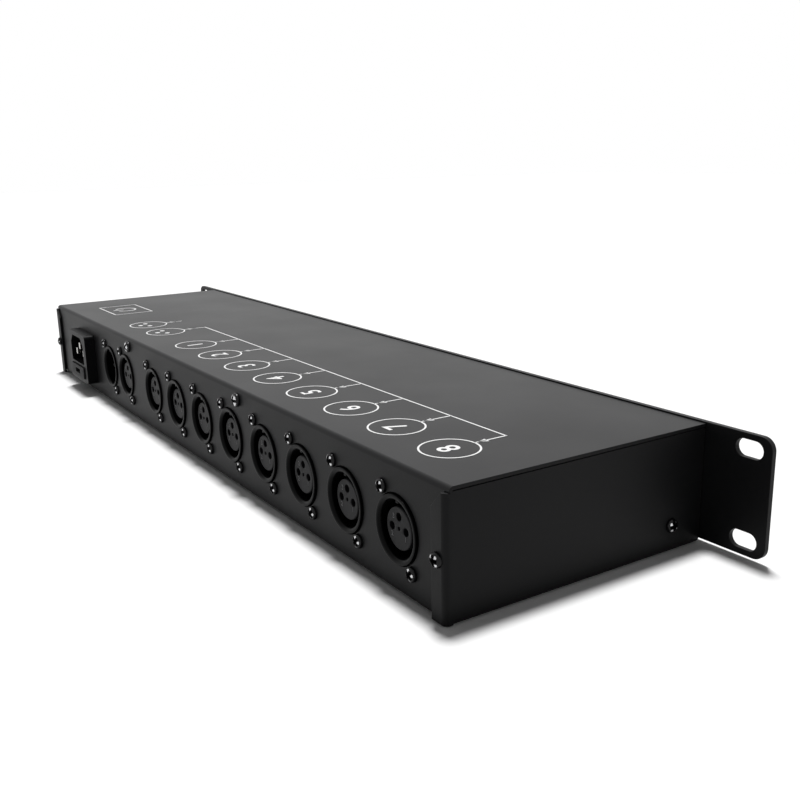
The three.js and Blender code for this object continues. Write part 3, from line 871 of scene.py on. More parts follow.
# The case


@dataclass(frozen=True)
class Places:
    """Planes of the case."""

    half_width: float
    front: float
    rear: float
    top: float

    @staticmethod
    def read() -> "Places":
        """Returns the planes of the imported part's lid and rear panel."""
        low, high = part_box("top_cover")
        return Places(high.x, low.y, high.y, high.z)


@dataclass(frozen=True)
class Socket:
    """One XLR connector: its nodes' shared name, its middle and whether it has pins."""

    name: str
    middle: Vector
    pins: bool

    @staticmethod
    def all() -> list["Socket"]:
        """Finds the connectors.

        Returns:
            The ten connectors in order from the mains end.
        """
        names = ["xlr_input", "xlr_through", *(f"xlr_output_{index + 1}" for index in range(8))]
        found = []
        for name in names:
            low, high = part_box(f"{name}_shell")
            middle = on_plane((low + high) / 2, high.y)
            found.append(Socket(name, middle, name == "xlr_input"))
        return found


PLACES = Places.read()
SOCKETS = Socket.all()
SCREWS_ON_REAR = [
    *(f"{socket.name}_screw_{end}" for socket in SOCKETS for end in ("upper", "lower")),
    *(f"{place}_screw_{side}" for place in ("bracket", "flange") for side in ("left", "right")),
]


@dataclass
class TopCover:
    """The lid and the rear panel, folded from one sheet."""

    sheet: float = SHEET
    bend: float = 1.8 * MM
    bend_steps: int = 6
    lift: float = 1.4 * MM
    end_relief: float = 2.0 * MM
    relief_angle: float = math.radians(5)
    edge: float = 0.22 * MM
    hole_gap: float = 0.42 * MM
    hole_sides: int = 64
    inlet_gap: float = 0.3 * MM

    def build(self) -> None:
        """Builds the folded sheet, whose bend starts narrow to leave the corner reliefs."""
        bm = bmesh.new()
        y, low = PLACES.rear, self.lift
        half, high = PLACES.half_width - self.end_relief, PLACES.top - self.bend
        outline = chain(bm, [(-half, y, low), (half, y, low), (half, y, high), (-half, y, high)])
        filled(bm, outline + self._holes(bm))
        centre, axis = Vector((0, y - self.bend, high)), Vector((1, 0, 0))
        (narrow,) = bent(bm, [outline[2]], centre, axis, self.relief_angle, steps=1)
        wide = [narrow]
        for vert in narrow.verts:
            out = Vector((math.copysign(PLACES.half_width, vert.co.x), vert.co.y, vert.co.z))
            wide.append(bm.edges.new((vert, bm.verts.new(out))))
        last = bent(bm, wide, centre, axis, QUARTER - self.relief_angle, self.bend_steps)
        drawn(bm, last, Vector((0, PLACES.front - y + self.bend, 0)))
        thickened(bm, self.sheet, self.edge, 1)
        piece("top_cover_sheet", bm, POWDER_COAT, ["top_cover"])

    def _holes(self, bm: BMesh) -> list[BMEdge]:
        """Draws the rear panel's holes.

        Args:
            bm: The cover's mesh.

        Returns:
            The holes' edges.
        """
        y, edges = PLACES.rear, []
        collar = Connector.collar_radius + self.hole_gap
        for socket in SOCKETS:
            edges += ring(bm, on_plane(socket.middle, y), collar, self.hole_sides)
        for name in SCREWS_ON_REAR:
            edges += screw_hole(bm, on_plane(middle_of(name), y))
        middle, size = middle_of("inlet_housing"), size_of("inlet_housing")
        width = size.x - 2 * MainsInlet.lip_x + 2 * self.inlet_gap
        height = size.z - 2 * MainsInlet.lip_z + 2 * self.inlet_gap
        edges += rounded(bm, on_plane(middle, y), width, height, MainsInlet.corner)
        return edges


@dataclass
class BaseTray:
    """The floor, the sides and the flanges over the rear panel's ends, folded from one sheet."""

    sheet: float = SHEET
    bend: float = 1.8 * MM
    flange_bend: float = 2.0 * MM
    flange_width: float = 7.0 * MM
    flange_gap: float = 0.3 * MM
    flange_drop: float = 0.4 * MM
    flange_chamfer: float = 5.4 * MM
    tongue_lift: float = 0.3 * MM
    edge: float = 0.22 * MM

    @property
    def back(self) -> float:
        """The floor's rear edge, just inside the rear panel."""
        return PLACES.rear - self.sheet - self.flange_gap

    def build(self) -> None:
        """Builds one half of the tray and mirrors it."""
        bm = bmesh.new()
        front, flat_x = PLACES.front, PLACES.half_width - self.bend
        corners = [(0, front, 0), (flat_x, front, 0), (flat_x, self.back, 0), (0, self.back, 0)]
        floor = chain(bm, corners)
        filled(bm, floor)
        centre = Vector((flat_x, 0, self.bend))
        (lower,) = bent(bm, [floor[1]], centre, Vector((0, 1, 0)), -QUARTER)
        self._flange(bm, self._side(bm, lower))
        tidied(bm)
        whole = bm.verts[:] + bm.edges[:] + bm.faces[:]
        bmesh.ops.mirror(bm, geom=whole, merge_dist=MERGE, axis="X")
        thickened(bm, self.sheet, self.edge, -1)
        piece("base_tray_sheet", bm, POWDER_COAT, ["base_tray"])

    def _side(self, bm: BMesh, lower: BMEdge) -> BMEdge:
        """Builds the upright side.

        Args:
            bm: The tray's mesh.
            lower: The edge where the floor's bend ends.

        Returns:
            The edge where the flange's bend starts.
        """
        side, high = PLACES.half_width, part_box("base_tray")[1]
        bend_y = high.y - self.flange_bend
        fore, aft = sorted(lower.verts, key=lambda vert: vert.co.y)
        corners = [
            (side, self.back, self.tongue_lift),
            (side, bend_y, self.tongue_lift),
            (side, bend_y, high.z - self.flange_drop),
            (side, bend_y - self.flange_drop, high.z),
            (side, PLACES.front, high.z),
        ]
        verts = [bm.verts.new(corner) for corner in corners]
        wall = [lower, *(bm.edges.new(pair) for pair in zip([aft, *verts], [*verts, fore]))]
        screw = middle_of("side_screw_right")
        filled(bm, wall + screw_hole(bm, Vector((side, screw.y, screw.z)), "X"))
        return wall[3]

    def _flange(self, bm: BMesh, start: BMEdge) -> None:
        """Builds the flange with its chamfered upper corner.

        Args:
            bm: The tray's mesh.
            start: The edge where the flange's bend starts.
        """
        side, high = PLACES.half_width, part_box("base_tray")[1]
        centre = Vector((side - self.flange_bend, high.y - self.flange_bend, 0))
        (upright,) = bent(bm, [start], centre, Vector((0, 0, 1)), QUARTER)
        foot, head = sorted(upright.verts, key=lambda vert: vert.co.z)
        free_x, free_z = side - self.flange_width, high.z - self.flange_drop - self.flange_chamfer
        tip = bm.verts.new((free_x, high.y, free_z))
        heel = bm.verts.new((free_x, high.y, self.tongue_lift))
        pairs = ((head, tip), (tip, heel), (heel, foot))
        flange = [upright, *(bm.edges.new(pair) for pair in pairs)]
        screw = on_plane(middle_of("flange_screw_right"), high.y)
        filled(bm, flange + screw_hole(bm, screw))


@dataclass
class FrontPanel:
    """The front plate with the rack ears, and the tabs and the return behind it."""

    corner: float = 4.5 * MM
    corner_steps: int = 10
    thickness: float = 2.0 * MM
    slot_inset: float = 8.75 * MM
    slot_spacing: float = 31.75 * MM
    slot_length: float = 10.7 * MM
    slot_height: float = 6.2 * MM
    light_hole: float = 1.9 * MM
    light_sides: int = 32
    window_gap: float = 0.3 * MM
    window_corner: float = 1.6 * MM
    sheet: float = SHEET
    fit_gap: float = 0.3 * MM
    tab_depth: float = 20 * MM
    tab_margin: float = 5 * MM
    return_depth: float = 12 * MM
    return_inset: float = 8 * MM
    edge: float = 0.15 * MM

    def build(self) -> None:
        """Builds the plate and what is folded from it."""
        low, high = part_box("front_panel")
        front, steps = Vector((0, low.y, (low.z + high.z) / 2)), self.corner_steps
        bm = bmesh.new()
        edges = rounded(bm, front, high.x - low.x, high.z - low.z, self.corner, steps)
        length, height = self.slot_length, self.slot_height
        for side in (-1, 1):
            for level in (-1, 1):
                x, z = side * (high.x - self.slot_inset), level * self.slot_spacing / 2
                place = front + Vector((x, 0, z))
                edges += rounded(bm, place, length, height, height / 2, steps)
        for x in Lights.places():
            edges += ring(bm, front + Vector((x, 0, 0)), self.light_hole, self.light_sides)
        lip = 2 * (PowerSwitch.lip - self.window_gap)
        place, size = on_plane(middle_of("rocker_frame"), front.y), size_of("rocker_frame")
        edges += rounded(bm, place, size.x - lip, size.z - lip, self.window_corner)
        pushed(bm, filled(bm, edges), Vector((0, self.thickness, 0)))
        softened(tidied(bm), self.edge, steps=3)
        plate = merged([bm, *self._folds(front.y + self.thickness)])
        piece("front_plate", plate, POWDER_COAT, ["front_panel"])

    def _folds(self, rear: float) -> list[BMesh]:
        """Makes the two side tabs and the return under the lid.

        Args:
            rear: The plate's rear plane.

        Returns:
            The meshes.
        """
        outer = PLACES.half_width - self.sheet - self.fit_gap
        top = PLACES.top - self.sheet - self.fit_gap
        start, tab_end = rear - self.thickness / 2, rear + self.tab_depth
        bottom = self.sheet + self.tab_margin
        made = []
        for side in (-1, 1):
            near, far = sorted((side * outer, side * (outer - self.sheet)))
            made.append(slab((near, start, bottom), (far, tab_end, top - self.tab_margin)))
        half = outer - self.return_inset
        made.append(slab((-half, start, top - self.sheet), (half, rear + self.return_depth, top)))
        return [softened(fold, self.edge / 2) for fold in made]


@dataclass(frozen=True)
class Screw:
    """A pan-head screw with a cross recess, made to point along -Y from a seat at Y 0.

    A share is one of the head's radius, or of its height where it counts along Y. The rim is
    the head's outline from the crown down to the seat.
    """

    head_radius: float
    head_height: float
    sides: int = 32
    shank_radius: float = 1.4 * MM
    length: float = 6 * MM
    crown_share: float = 0.86
    dome_share: float = 0.36
    rim_shares: tuple[tuple[float, float], ...] = (
        (0.92, 0.54),
        (0.96, 0.42),
        (0.985, 0.28),
        (1.0, 0.12),
        (1.0, 0.0),
    )
    slot_width: float = 1.05 * MM
    slot_reach_share: float = 0.7
    slot_depth_share: float = 0.85
    slot_taper: float = 0.72
    edge: float = 0.06 * MM
    edge_angle: float = math.radians(60)
    # The patches of painted highlight on the crown: their inset from the slots, their thickness and
    # their grid.
    wear_inset: float = 0.04 * MM
    wear_depth: float = 0.06 * MM
    wear_cells: int = 16

    @property
    def crown(self) -> float:
        """The radius of the domed crown."""
        return self.head_radius * self.crown_share

    @property
    def shoulder(self) -> float:
        """The height where the dome starts."""
        return self.head_height * (1 - self.dome_share)

    def dome(self, point: Vector) -> float:
        """Returns how far the dome stands above the shoulder at a point."""
        share = math.hypot(point.x, point.z) / self.crown
        return self.head_height * self.dome_share * (1 - share**2)

    def mesh(self) -> BMesh:
        """Makes the screw's mesh.

        Returns:
            The mesh.
        """
        bm = bmesh.new()
        seat = Matrix.Translation((0, self.shoulder, 0)) @ Matrix.Rotation(-QUARTER, 4, "X")
        bmesh.ops.create_circle(
            bm, cap_ends=True, radius=self.crown, segments=self.sides, matrix=seat
        )
        sunk = pushed(
            bm, self._slots(bm), Vector((0, -self.head_height * self.slot_depth_share, 0))
        )
        bmesh.ops.scale(bm, vec=(self.slot_taper, 1, self.slot_taper), verts=sunk)
        rim = [edge for edge in bm.edges if edge.is_boundary]
        shank, tip = self.shank_radius / self.head_radius, -self.length / self.head_height
        radius, y = self.crown, self.shoulder
        for share, level in (*self.rim_shares, (shank, 0.0), (shank, tip)):
            rim = drawn(bm, rim, Vector((0, level * self.head_height - y, 0)))
            grow = share * self.head_radius / radius
            widened(bm, rim, Vector(), (grow, 1, grow))
            radius, y = share * self.head_radius, level * self.head_height
        bmesh.ops.contextual_create(bm, geom=rim)
        for vert in bm.verts:
            inside = math.hypot(vert.co.x, vert.co.z) < self.crown
            if inside and vert.co.y > self.shoulder - MERGE:
                vert.co.y += self.dome(vert.co)
        return softened(
            tidied(bm),
            self.edge,
            least=self.edge_angle,
            chosen=lambda edge: edge.verts[0].co.y > NEAR,
        )

    def _slots(self, bm: BMesh) -> list[BMFace]:
        """Cuts the outline of the cross into the crown.

        Args:
            bm: The screw's mesh, a flat crown so far.

        Returns:
            The faces of the cross.
        """
        half, reach = self.slot_width / 2, self.head_radius * self.slot_reach_share
        for axis in (Vector((1, 0, 0)), Vector((0, 0, 1))):
            for distance in (-reach, -half, half, reach):
                bmesh.ops.bisect_plane(
                    bm,
                    geom=bm.verts[:] + bm.edges[:] + bm.faces[:],
                    dist=MERGE,
                    plane_co=axis * distance,
                    plane_no=axis,
                )
        arms = []
        for face in bm.faces:
            middle = face.calc_center_median()
            near, far = sorted((abs(middle.x), abs(middle.z)))
            if near < half and far < reach:
                arms.append(face)
        return arms

    def lobes(self) -> BMesh:
        """Makes four bright steel patches on the crown between the arms, a painted highlight that
        stands in for the glints of light on the head.

        Returns:
            The mesh, on the same seat as the screw.
        """
        start, cells = self.slot_width / 2 + self.wear_inset, self.wear_cells
        flat = Matrix.Rotation(-QUARTER, 4, "X")
        parts = []
        for quarter in range(4):
            bm = bmesh.new()
            bmesh.ops.create_grid(
                bm, x_segments=cells, y_segments=cells, size=self.crown, matrix=flat
            )
            outside = [
                vert
                for vert in bm.verts
                if min(vert.co.x, vert.co.z) < start
                or math.hypot(vert.co.x, vert.co.z) > self.crown
            ]
            bmesh.ops.delete(bm, geom=outside, context="VERTS")
            for vert in bm.verts:
                vert.co.y = self.shoulder + self.dome(vert.co) - self.wear_depth / 2
            pushed(bm, bm.faces[:], Vector((0, self.wear_depth, 0)))
            parts.append(moved(tidied(bm), Matrix.Rotation(quarter * QUARTER, 4, "Y")))
        return merged(parts)


@dataclass
class Screws:
    """All the visible screws, each with its own turn. Two large ones hold the bracket."""

    small: Screw = Screw(2.5 * MM, 1.7 * MM)
    large: Screw = Screw(2.9 * MM, 2.0 * MM)

    def build(self) -> None:
        """Places a screw at every screw node."""
        nodes = sorted(name for name in frame["nodes"] if "_screw_" in name)
        highlight_patches = []
        for index, node in enumerate(nodes):
            low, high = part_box(node)
            middle = (low + high) / 2
            kind = self.large if node.startswith("bracket") else self.small
            turn = Matrix.Rotation(index * GOLDEN_TURN, 4, "Y")
            if node.startswith("side"):
                side = 1 if middle.x > 0 else -1
                head = high.x if side > 0 else low.x
                seat = Vector((head - side * kind.head_height, middle.y, middle.z))
                place = Matrix.Translation(seat) @ Matrix.Rotation(-side * QUARTER, 4, "Z")
            else:
                place = Matrix.Translation(on_plane(middle, high.y - kind.head_height))
            piece(f"{node}_head", moved(kind.mesh(), place @ turn), BLACK_STEEL, [node])
            highlight_patches.append(moved(kind.lobes(), place @ turn))
        # The crown patches paint bright highlights onto the black screw heads.
        piece("screw_crown_highlights", merged(highlight_patches), HIGHLIGHT_STEEL)


def encircles(edge: BMEdge, y: float, radius: float) -> bool:
    """Tells whether an edge lies on a circle about the Y axis.

    Args:
        edge: The edge.
        y: The circle's plane.
        radius: Its radius.

    Returns:
        True where it does.
    """
    return all(
        abs(vert.co.y - y) < MERGE and abs(math.hypot(vert.co.x, vert.co.z) - radius) < NEAR
        for vert in edge.verts
    )


@dataclass
class Connector:
    """One XLR connector: a shell with a collar, and an insert with sockets or pins.

    Its meshes are made with the collar's face at Y 0.
    """

    socket: Socket
    collar_radius: float = 11.4 * MM
    bore_radius: float = 9.4 * MM
    inner_round: float = 1.3 * MM
    outer_round: float = 0.3 * MM
    collar_sides: int = 72
    cup_depth: float = 14 * MM
    plate_corner: float = 3 * MM
    plate_front: float = 2.4 * MM
    plate_thickness: float = 2 * MM
    plate_edge: float = 0.2 * MM
    key_width: float = 1.8 * MM
    key_height: float = 1.0 * MM
    key_margin: float = 1 * MM
    key_edge: float = 0.3 * MM
    insert_radius: float = 7.1 * MM
    insert_recess: float = 1.6 * MM
    insert_round: float = 0.5 * MM
    insert_rim: float = 1 * MM
    insert_sides: int = 64
    contact_circle: float = 3.88 * MM
    socket_radius: float = 1.4 * MM
    socket_depth: float = 8 * MM
    socket_round: float = 0.18 * MM
    socket_sides: int = 32
    dimple_radius: float = 0.65 * MM
    dimple_depth: float = 1 * MM
    dimple_sides: int = 24
    disc_edge: float = 0.3 * MM
    pin_radius: float = 1.2 * MM
    pin_length: float = 10.5 * MM
    pin_root: float = 1 * MM
    pin_round: float = 0.7 * MM
    pin_sides: int = 24
    gap: float = 0.3 * MM
    number_height: float = 2.4 * MM
    number_weight: float = 0.01
    number_raise: float = 0.08 * MM
    number_circle: float = 4.5 * MM
    number_degrees: tuple[float, ...] = (215, -35, 50)

    @property
    def length(self) -> float:
        """The tube's length, read from the CAD node."""
        low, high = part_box(f"{self.socket.name}_shell")
        return high.y - low.y

    @property
    def contacts(self) -> list[Vector]:
        """The three contacts' places."""
        return [Vector((x, 0, z)) * self.contact_circle for x, z in CONTACT_WAYS]

    def build(self) -> None:
        """Builds the shell and the insert."""
        name = self.socket.name
        place = Matrix.Translation(self.socket.middle)
        piece(f"{name}_collar", moved(self._shell(), place), SHELL_BLACK, [f"{name}_shell"])
        insert = self._male_insert() if self.socket.pins else self._female_insert()
        piece(f"{name}_core", moved(insert, place), INSERT_GREY, [f"{name}_insert"])

    def _shell(self) -> BMesh:
        """Makes the tube, its plate behind the rear panel and the key.

        Returns:
            The mesh.
        """
        bore, collar, sides = self.bore_radius, self.collar_radius, self.collar_sides
        tube = washer(bore, collar, -self.length, 0, sides)
        softened(tube, self.inner_round, steps=5, chosen=lambda edge: encircles(edge, 0, bore))
        softened(tube, self.outer_round, chosen=lambda edge: encircles(edge, 0, collar))
        plate, wall_middle = bmesh.new(), (bore + collar) / 2
        front, size = Vector((0, -self.plate_front, 0)), size_of(f"{self.socket.name}_shell")
        edges = rounded(plate, front, size.x, size.z, self.plate_corner)
        edges += ring(plate, front, wall_middle, sides)
        for end in ("upper", "lower"):
            offset = middle_of(f"{self.socket.name}_screw_{end}") - self.socket.middle
            edges += screw_hole(plate, on_plane(offset, front.y))
        pushed(plate, filled(plate, edges), Vector((0, -self.plate_thickness, 0)))
        softened(tidied(plate), self.plate_edge)
        half, margin = self.key_width / 2, self.key_margin
        low = (-half, margin - self.cup_depth, bore - self.key_height)
        key = softened(slab(low, (half, -margin, wall_middle)), self.key_edge)
        return merged([tube, plate, key])

    def contact_numbers(self) -> BMesh:
        """Makes the small numbers beside the three sockets.

        Returns:
            The mesh, in its place.
        """
        upright = Matrix.Rotation(math.pi, 4, "Z") @ Matrix.Rotation(QUARTER, 4, "X")
        y = self.number_raise / 2 - self.insert_recess
        parts = []
        for index, degrees in enumerate(self.number_degrees, start=1):
            way = math.radians(degrees)
            x, z = math.cos(way) * self.number_circle, math.sin(way) * self.number_circle
            place = Matrix.Translation(Vector((x, y, z)) + self.socket.middle)
            glyph = lettered(str(index), self.number_height, self.number_weight, self.number_raise)
            parts.append(moved(glyph, place @ upright))
        return merged(parts)

    def _female_insert(self) -> BMesh:
        """Makes the insert with three sockets and a dimple.

        Returns:
            The mesh.
        """
        bm = bmesh.new()
        face = Vector((0, -self.insert_recess, 0))
        outer = ring(bm, face, self.insert_radius, self.insert_sides)
        holes = [
            (ring(bm, face + contact, self.socket_radius, self.socket_sides), self.socket_depth)
            for contact in self.contacts
        ]
        dimple = ring(bm, face, self.dimple_radius, self.dimple_sides)
        holes.append((dimple, self.dimple_depth))
        filled(bm, outer + [edge for loop, _ in holes for edge in loop])
        for loop, depth in holes:
            closed_off(bm, loop, -depth)
        share = (self.bore_radius - self.gap) / self.insert_radius
        first, second = self.insert_recess - self.cup_depth, self.cup_depth - self.length
        stepped(bm, outer, Vector(), first, (share, share), second)
        tidied(bm)
        softened(
            bm,
            self.insert_round,
            steps=4,
            chosen=lambda edge: encircles(edge, face.y, self.insert_radius),
        )
        return softened(bm, self.socket_round, chosen=self._on_face)

    def _on_face(self, edge: BMEdge) -> bool:
        """Tells whether an edge lies on the insert's face, inside its rim.

        Args:
            edge: The edge.

        Returns:
            True where it does.
        """
        reach = math.hypot(edge.verts[0].co.x, edge.verts[0].co.z)
        level = all(abs(vert.co.y + self.insert_recess) < MERGE for vert in edge.verts)
        return level and reach < self.insert_radius - self.insert_rim

    def _male_insert(self) -> BMesh:
        """Makes the disc with three pins.

        Returns:
            The mesh.
        """
        floor = -self.cup_depth
        disc = rod(self.bore_radius - self.gap, -self.length, floor, self.insert_sides)
        parts = [softened(disc, self.disc_edge)]
        for contact in self.contacts:
            start, end = floor - self.pin_root, floor + self.pin_length
            pin = rod(self.pin_radius, start, end, self.pin_sides)
            softened(pin, self.pin_round, steps=4, chosen=lambda edge: edge.verts[0].co.y > floor)
            parts.append(moved(pin, Matrix.Translation(contact)))
        return merged(parts)


@dataclass
class MainsInlet:
    """The mains inlet: a bezel with a bevelled recess, its blades, and a fuse drawer below."""

    lip_x: float = 3 * MM
    lip_z: float = 1.5 * MM
    corner: float = 2 * MM
    proud: float = 6 * MM
    seat_gap: float = 0.1 * MM
    edge: float = 0.45 * MM
    rise: float = 4.25 * MM
    recess_width: float = 25 * MM
    recess_height: float = 15.6 * MM
    recess_bevel: float = 4.4 * MM
    recess_cut: float = 0.9 * MM
    recess_depth: float = 17 * MM
    blade_edge: float = 0.4 * MM
    drawer_gap: float = 0.3 * MM
    drawer_edge: float = 0.3 * MM
    bay_corner: float = 0.6 * MM
    grip_width: float = 9 * MM
    grip_height: float = 2.6 * MM
    grip_depth: float = 3 * MM
    fuse_radius: float = 2.7 * MM
    fuse_length: float = 16 * MM
    fuse_setback: float = 4.4 * MM
    fuse_steps: int = 12

    def build(self) -> None:
        """Builds the housing, the blades and the drawer."""
        self._housing()
        for blade in ("line", "neutral", "earth"):
            node = f"inlet_blade_{blade}"
            bar = softened(slab(*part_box(node)), self.blade_edge, steps=3)
            piece(f"{node}_bar", bar, NICKEL, [node])
        self._drawer(*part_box("fuse_drawer"))

    def _housing(self) -> None:
        """Builds the bezel with its recess, and the bay for the drawer."""
        low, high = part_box("inlet_housing")
        front, size = on_plane((low + high) / 2, high.y), high - low
        bm = bmesh.new()
        outer = rounded(bm, front, size.x, size.z, self.corner)
        recess = self._recess_outline(bm, front + Vector((0, 0, self.rise)))
        place, gap = on_plane(middle_of("fuse_drawer"), front.y), 2 * self.drawer_gap
        drawer = size_of("fuse_drawer")
        bay = rounded(bm, place, drawer.x + gap, drawer.z + gap, self.bay_corner, steps=3)
        filled(bm, outer + recess + bay)
        closed_off(bm, recess, -self.recess_depth)
        closed_off(bm, bay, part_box("fuse_drawer")[0].y - front.y - self.drawer_gap)
        proud = self.proud - self.seat_gap
        share = (1 - 2 * self.lip_x / size.x, 1 - 2 * self.lip_z / size.z)
        stepped(bm, outer, front, -proud, share, proud - size.y)
        softened(
            tidied(bm),
            self.edge,
            steps=3,
            chosen=lambda edge: all(vert.co.y > front.y - NEAR for vert in edge.verts),
        )
        piece("inlet_bezel", bm, BLACK_PLASTIC, ["inlet_housing"])

    def _recess_outline(self, bm: BMesh, middle: Vector) -> list[BMEdge]:
        """Draws the recess's outline, with its two upper corners bevelled.

        Args:
            bm: The housing's mesh.
            middle: The recess's middle.

        Returns:
            The outline's edges.
        """
        half_x, half_z = self.recess_width / 2, self.recess_height / 2
        cut, bevel = self.recess_cut, self.recess_bevel
        left = [
            (-half_x + bevel, half_z),
            (-half_x, half_z - bevel),
            (-half_x, -half_z + cut),
            (-half_x + cut, -half_z),
        ]
        right = [(-x, z) for x, z in reversed(left)]
        return chain(bm, [(middle.x + x, middle.y, middle.z + z) for x, z in left + right])

    def _drawer(self, low: Vector, high: Vector) -> None:
        """Builds the fuse drawer with its grip and the trough for the fuse.

        Args:
            low: The drawer's lowest corner.
            high: Its highest corner.
        """
        bm = slab(low, high)
        middle = (low + high) / 2
        half = Vector((self.grip_width / 2, 0, self.grip_height / 2))
        grip = windowed(bm, Vector((0, 1, 0)), middle - half, middle + half)
        pushed(bm, grip, Vector((0, -self.grip_depth, 0)))
        radius, end = self.fuse_radius, high.y - self.fuse_setback
        near = Vector((middle.x - radius, end - self.fuse_length, high.z))
        far = Vector((middle.x + radius, end, high.z))
        (trough,) = windowed(bm, Vector((0, 0, 1)), near, far)
        start = [edge for edge in trough.edges if all(vert.co.x < middle.x for vert in edge.verts)]
        bmesh.ops.delete(bm, geom=[trough], context="FACES_ONLY")
        axis_point = Vector((middle.x, 0, high.z))
        bent(bm, start, axis_point, Vector((0, 1, 0)), -math.pi, self.fuse_steps)
        tidied(bm)
        bmesh.ops.holes_fill(bm, edges=bm.edges[:], sides=0)
        softened(
            tidied(bm),
            self.drawer_edge,
            steps=3,
            chosen=lambda edge: edge.verts[0].co.z < high.z - MERGE,
        )
        piece("fuse_drawer_box", bm, ROUGH_PLASTIC, ["fuse_drawer"], Body.DRAWER)


# The front


@dataclass
class Lights:
    """The clear bar behind the front panel with a dome for each light."""

    dome_radius: float = 1.6 * MM
    dome_round: float = 0.85 * MM
    dome_sides: int = 32
    bar_thickness: float = 3 * MM
    bar_edge: float = 0.4 * MM
    rocker_gap: float = 36 * MM

    @staticmethod
    def places() -> list[float]:
        """Works out where the lights are: one for power, and one for each connector but one.

        Returns:
            Each light's X.
        """
        low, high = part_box("power_rocker")
        sockets = [socket.middle.x for socket in SOCKETS if socket.name != "xlr_through"]
        return [(low.x + high.x) / 2 - Lights.rocker_gap, *sockets]

    def build(self) -> None:
        """Builds the bar and the domes."""
        low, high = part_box("indicator_light_pipe")
        bar = slab((low.x, high.y - self.bar_thickness, low.z), high)
        parts = [softened(bar, self.bar_edge)]
        middle_z, root = (low.z + high.z) / 2, high.y - self.bar_thickness / 2
        for x in self.places():
            dome = rod(self.dome_radius, root, low.y, self.dome_sides)
            softened(
                dome,
                self.dome_round,
                steps=5,
                chosen=lambda edge: edge.verts[0].co.y < low.y + MERGE,
            )
            parts.append(moved(dome, Matrix.Translation((x, 0, middle_z))))
        piece("indicator_lights", merged(parts), LENS, ["indicator_light_pipe"])


@dataclass
class PowerSwitch:
    """The power rocker: a frame in the front panel and a lid that tips about its pins."""

    lip: float = 1.5 * MM
    corner: float = 1.6 * MM
    wall: float = 1.5 * MM
    proud: float = 1.6 * MM
    seat_gap: float = 0.1 * MM
    edge: float = 0.35 * MM
    window_corner: float = 0.4 * MM
    tilt: float = math.radians(10)
    lid_width: float = 10 * MM
    lid_edge: float = 0.45 * MM
    half_length: float = 8.6 * MM
    face_at_centre: float = 5 * MM
    face_at_end: float = 6.6 * MM
    body_radius: float = 5.2 * MM
    body_steps: int = 8
    pin_radius: float = 1 * MM
    pin_reach: float = 5.7 * MM
    pin_sides: int = 24
    mark_place: float = 0.55
    mark_inner: float = 1.0 * MM
    mark_outer: float = 1.4 * MM
    mark_sides: int = 32
    mark_ink: float = 0.08 * MM
    mark_lift: float = 0.02 * MM

    def build(self) -> None:
        """Builds the frame and the lid."""
        low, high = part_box("rocker_frame")
        front, size = on_plane((low + high) / 2, low.y), high - low
        margin = 2 * (self.lip + self.wall)
        bm = bmesh.new()
        outer = rounded(bm, front, size.x, size.z, self.corner)
        width, height = size.x - margin, size.z - margin
        window = rounded(bm, front, width, height, self.window_corner, steps=3)
        filled(bm, outer + window)
        closed_off(bm, window, size.y - self.wall)
        proud = self.proud - self.seat_gap
        share = (1 - 2 * self.lip / size.x, 1 - 2 * self.lip / size.z)
        stepped(bm, outer, front, proud, share, size.y - proud)
        softened(
            tidied(bm),
            self.edge,
            steps=3,
            chosen=lambda edge: edge.verts[0].co.y < low.y + NEAR,
        )
        piece("rocker_bezel", bm, BLACK_PLASTIC, ["rocker_frame"])
        joint = next(joint for joint in frame["joints"] if joint["name"] == "power_rocker_tip")
        place = Matrix.Translation(joint["pos_m"]) @ Matrix.Rotation(self.tilt, 4, "X")
        self._lid(place)
        self._marks(place)

    def _lid(self, place: Matrix) -> None:
        """Builds the rocker about its pins.

        Args:
            place: Where the pins are, and how the rocker is tipped.
        """
        half, radius = self.half_length, self.body_radius
        shoulder = self.face_at_end - self.face_at_centre / 2
        turns = [step * math.pi / self.body_steps for step in range(1, self.body_steps)]
        outline = [
            (-self.face_at_end, -half),
            (-self.face_at_centre, 0),
            (-self.face_at_end, half),
            (-shoulder, half),
            (0, radius),
            *((radius * math.sin(turn), radius * math.cos(turn)) for turn in turns),
            (0, -radius),
            (-shoulder, -half),
        ]
        bm = bmesh.new()
        edges = chain(bm, [(-self.lid_width / 2, y, z) for y, z in outline])
        pushed(bm, filled(bm, edges), Vector((self.lid_width, 0, 0)))
        softened(tidied(bm), self.lid_edge, steps=3)
        pin = rod(self.pin_radius, -self.pin_reach, self.pin_reach, self.pin_sides)
        moved(pin, Matrix.Rotation(QUARTER, 4, "Z"))
        lid = moved(merged([bm, pin]), place)
        piece("rocker_lid", lid, BLACK_PLASTIC, ["power_rocker"], Body.ROCKER)

    def _marks(self, place: Matrix) -> None:
        """Prints the circle and the bar on the rocker's two faces.

        Args:
            place: Where the pins are, and how the rocker is tipped.
        """
        rise = self.face_at_end - self.face_at_centre
        slope, run = math.atan2(rise, self.half_length), math.hypot(rise, self.half_length)
        ink, outer = self.mark_ink, self.mark_outer
        circle = washer(self.mark_inner, outer, 0, -ink, self.mark_sides)
        half = (outer - self.mark_inner) / 2
        bar = slab((-half, -ink, -outer), (half, 0, outer))
        level = Matrix.Translation((0, -self.face_at_centre - self.mark_lift, 0))
        for mark, side in ((circle, -1), (bar, 1)):
            lean = Matrix.Rotation(side * slope, 4, "X")
            along = Matrix.Translation((0, 0, side * run * self.mark_place))
            moved(mark, place @ level @ lean @ along)
        piece("rocker_marks", merged([circle, bar]), PRINT_INK, body=Body.ROCKER)


# The print


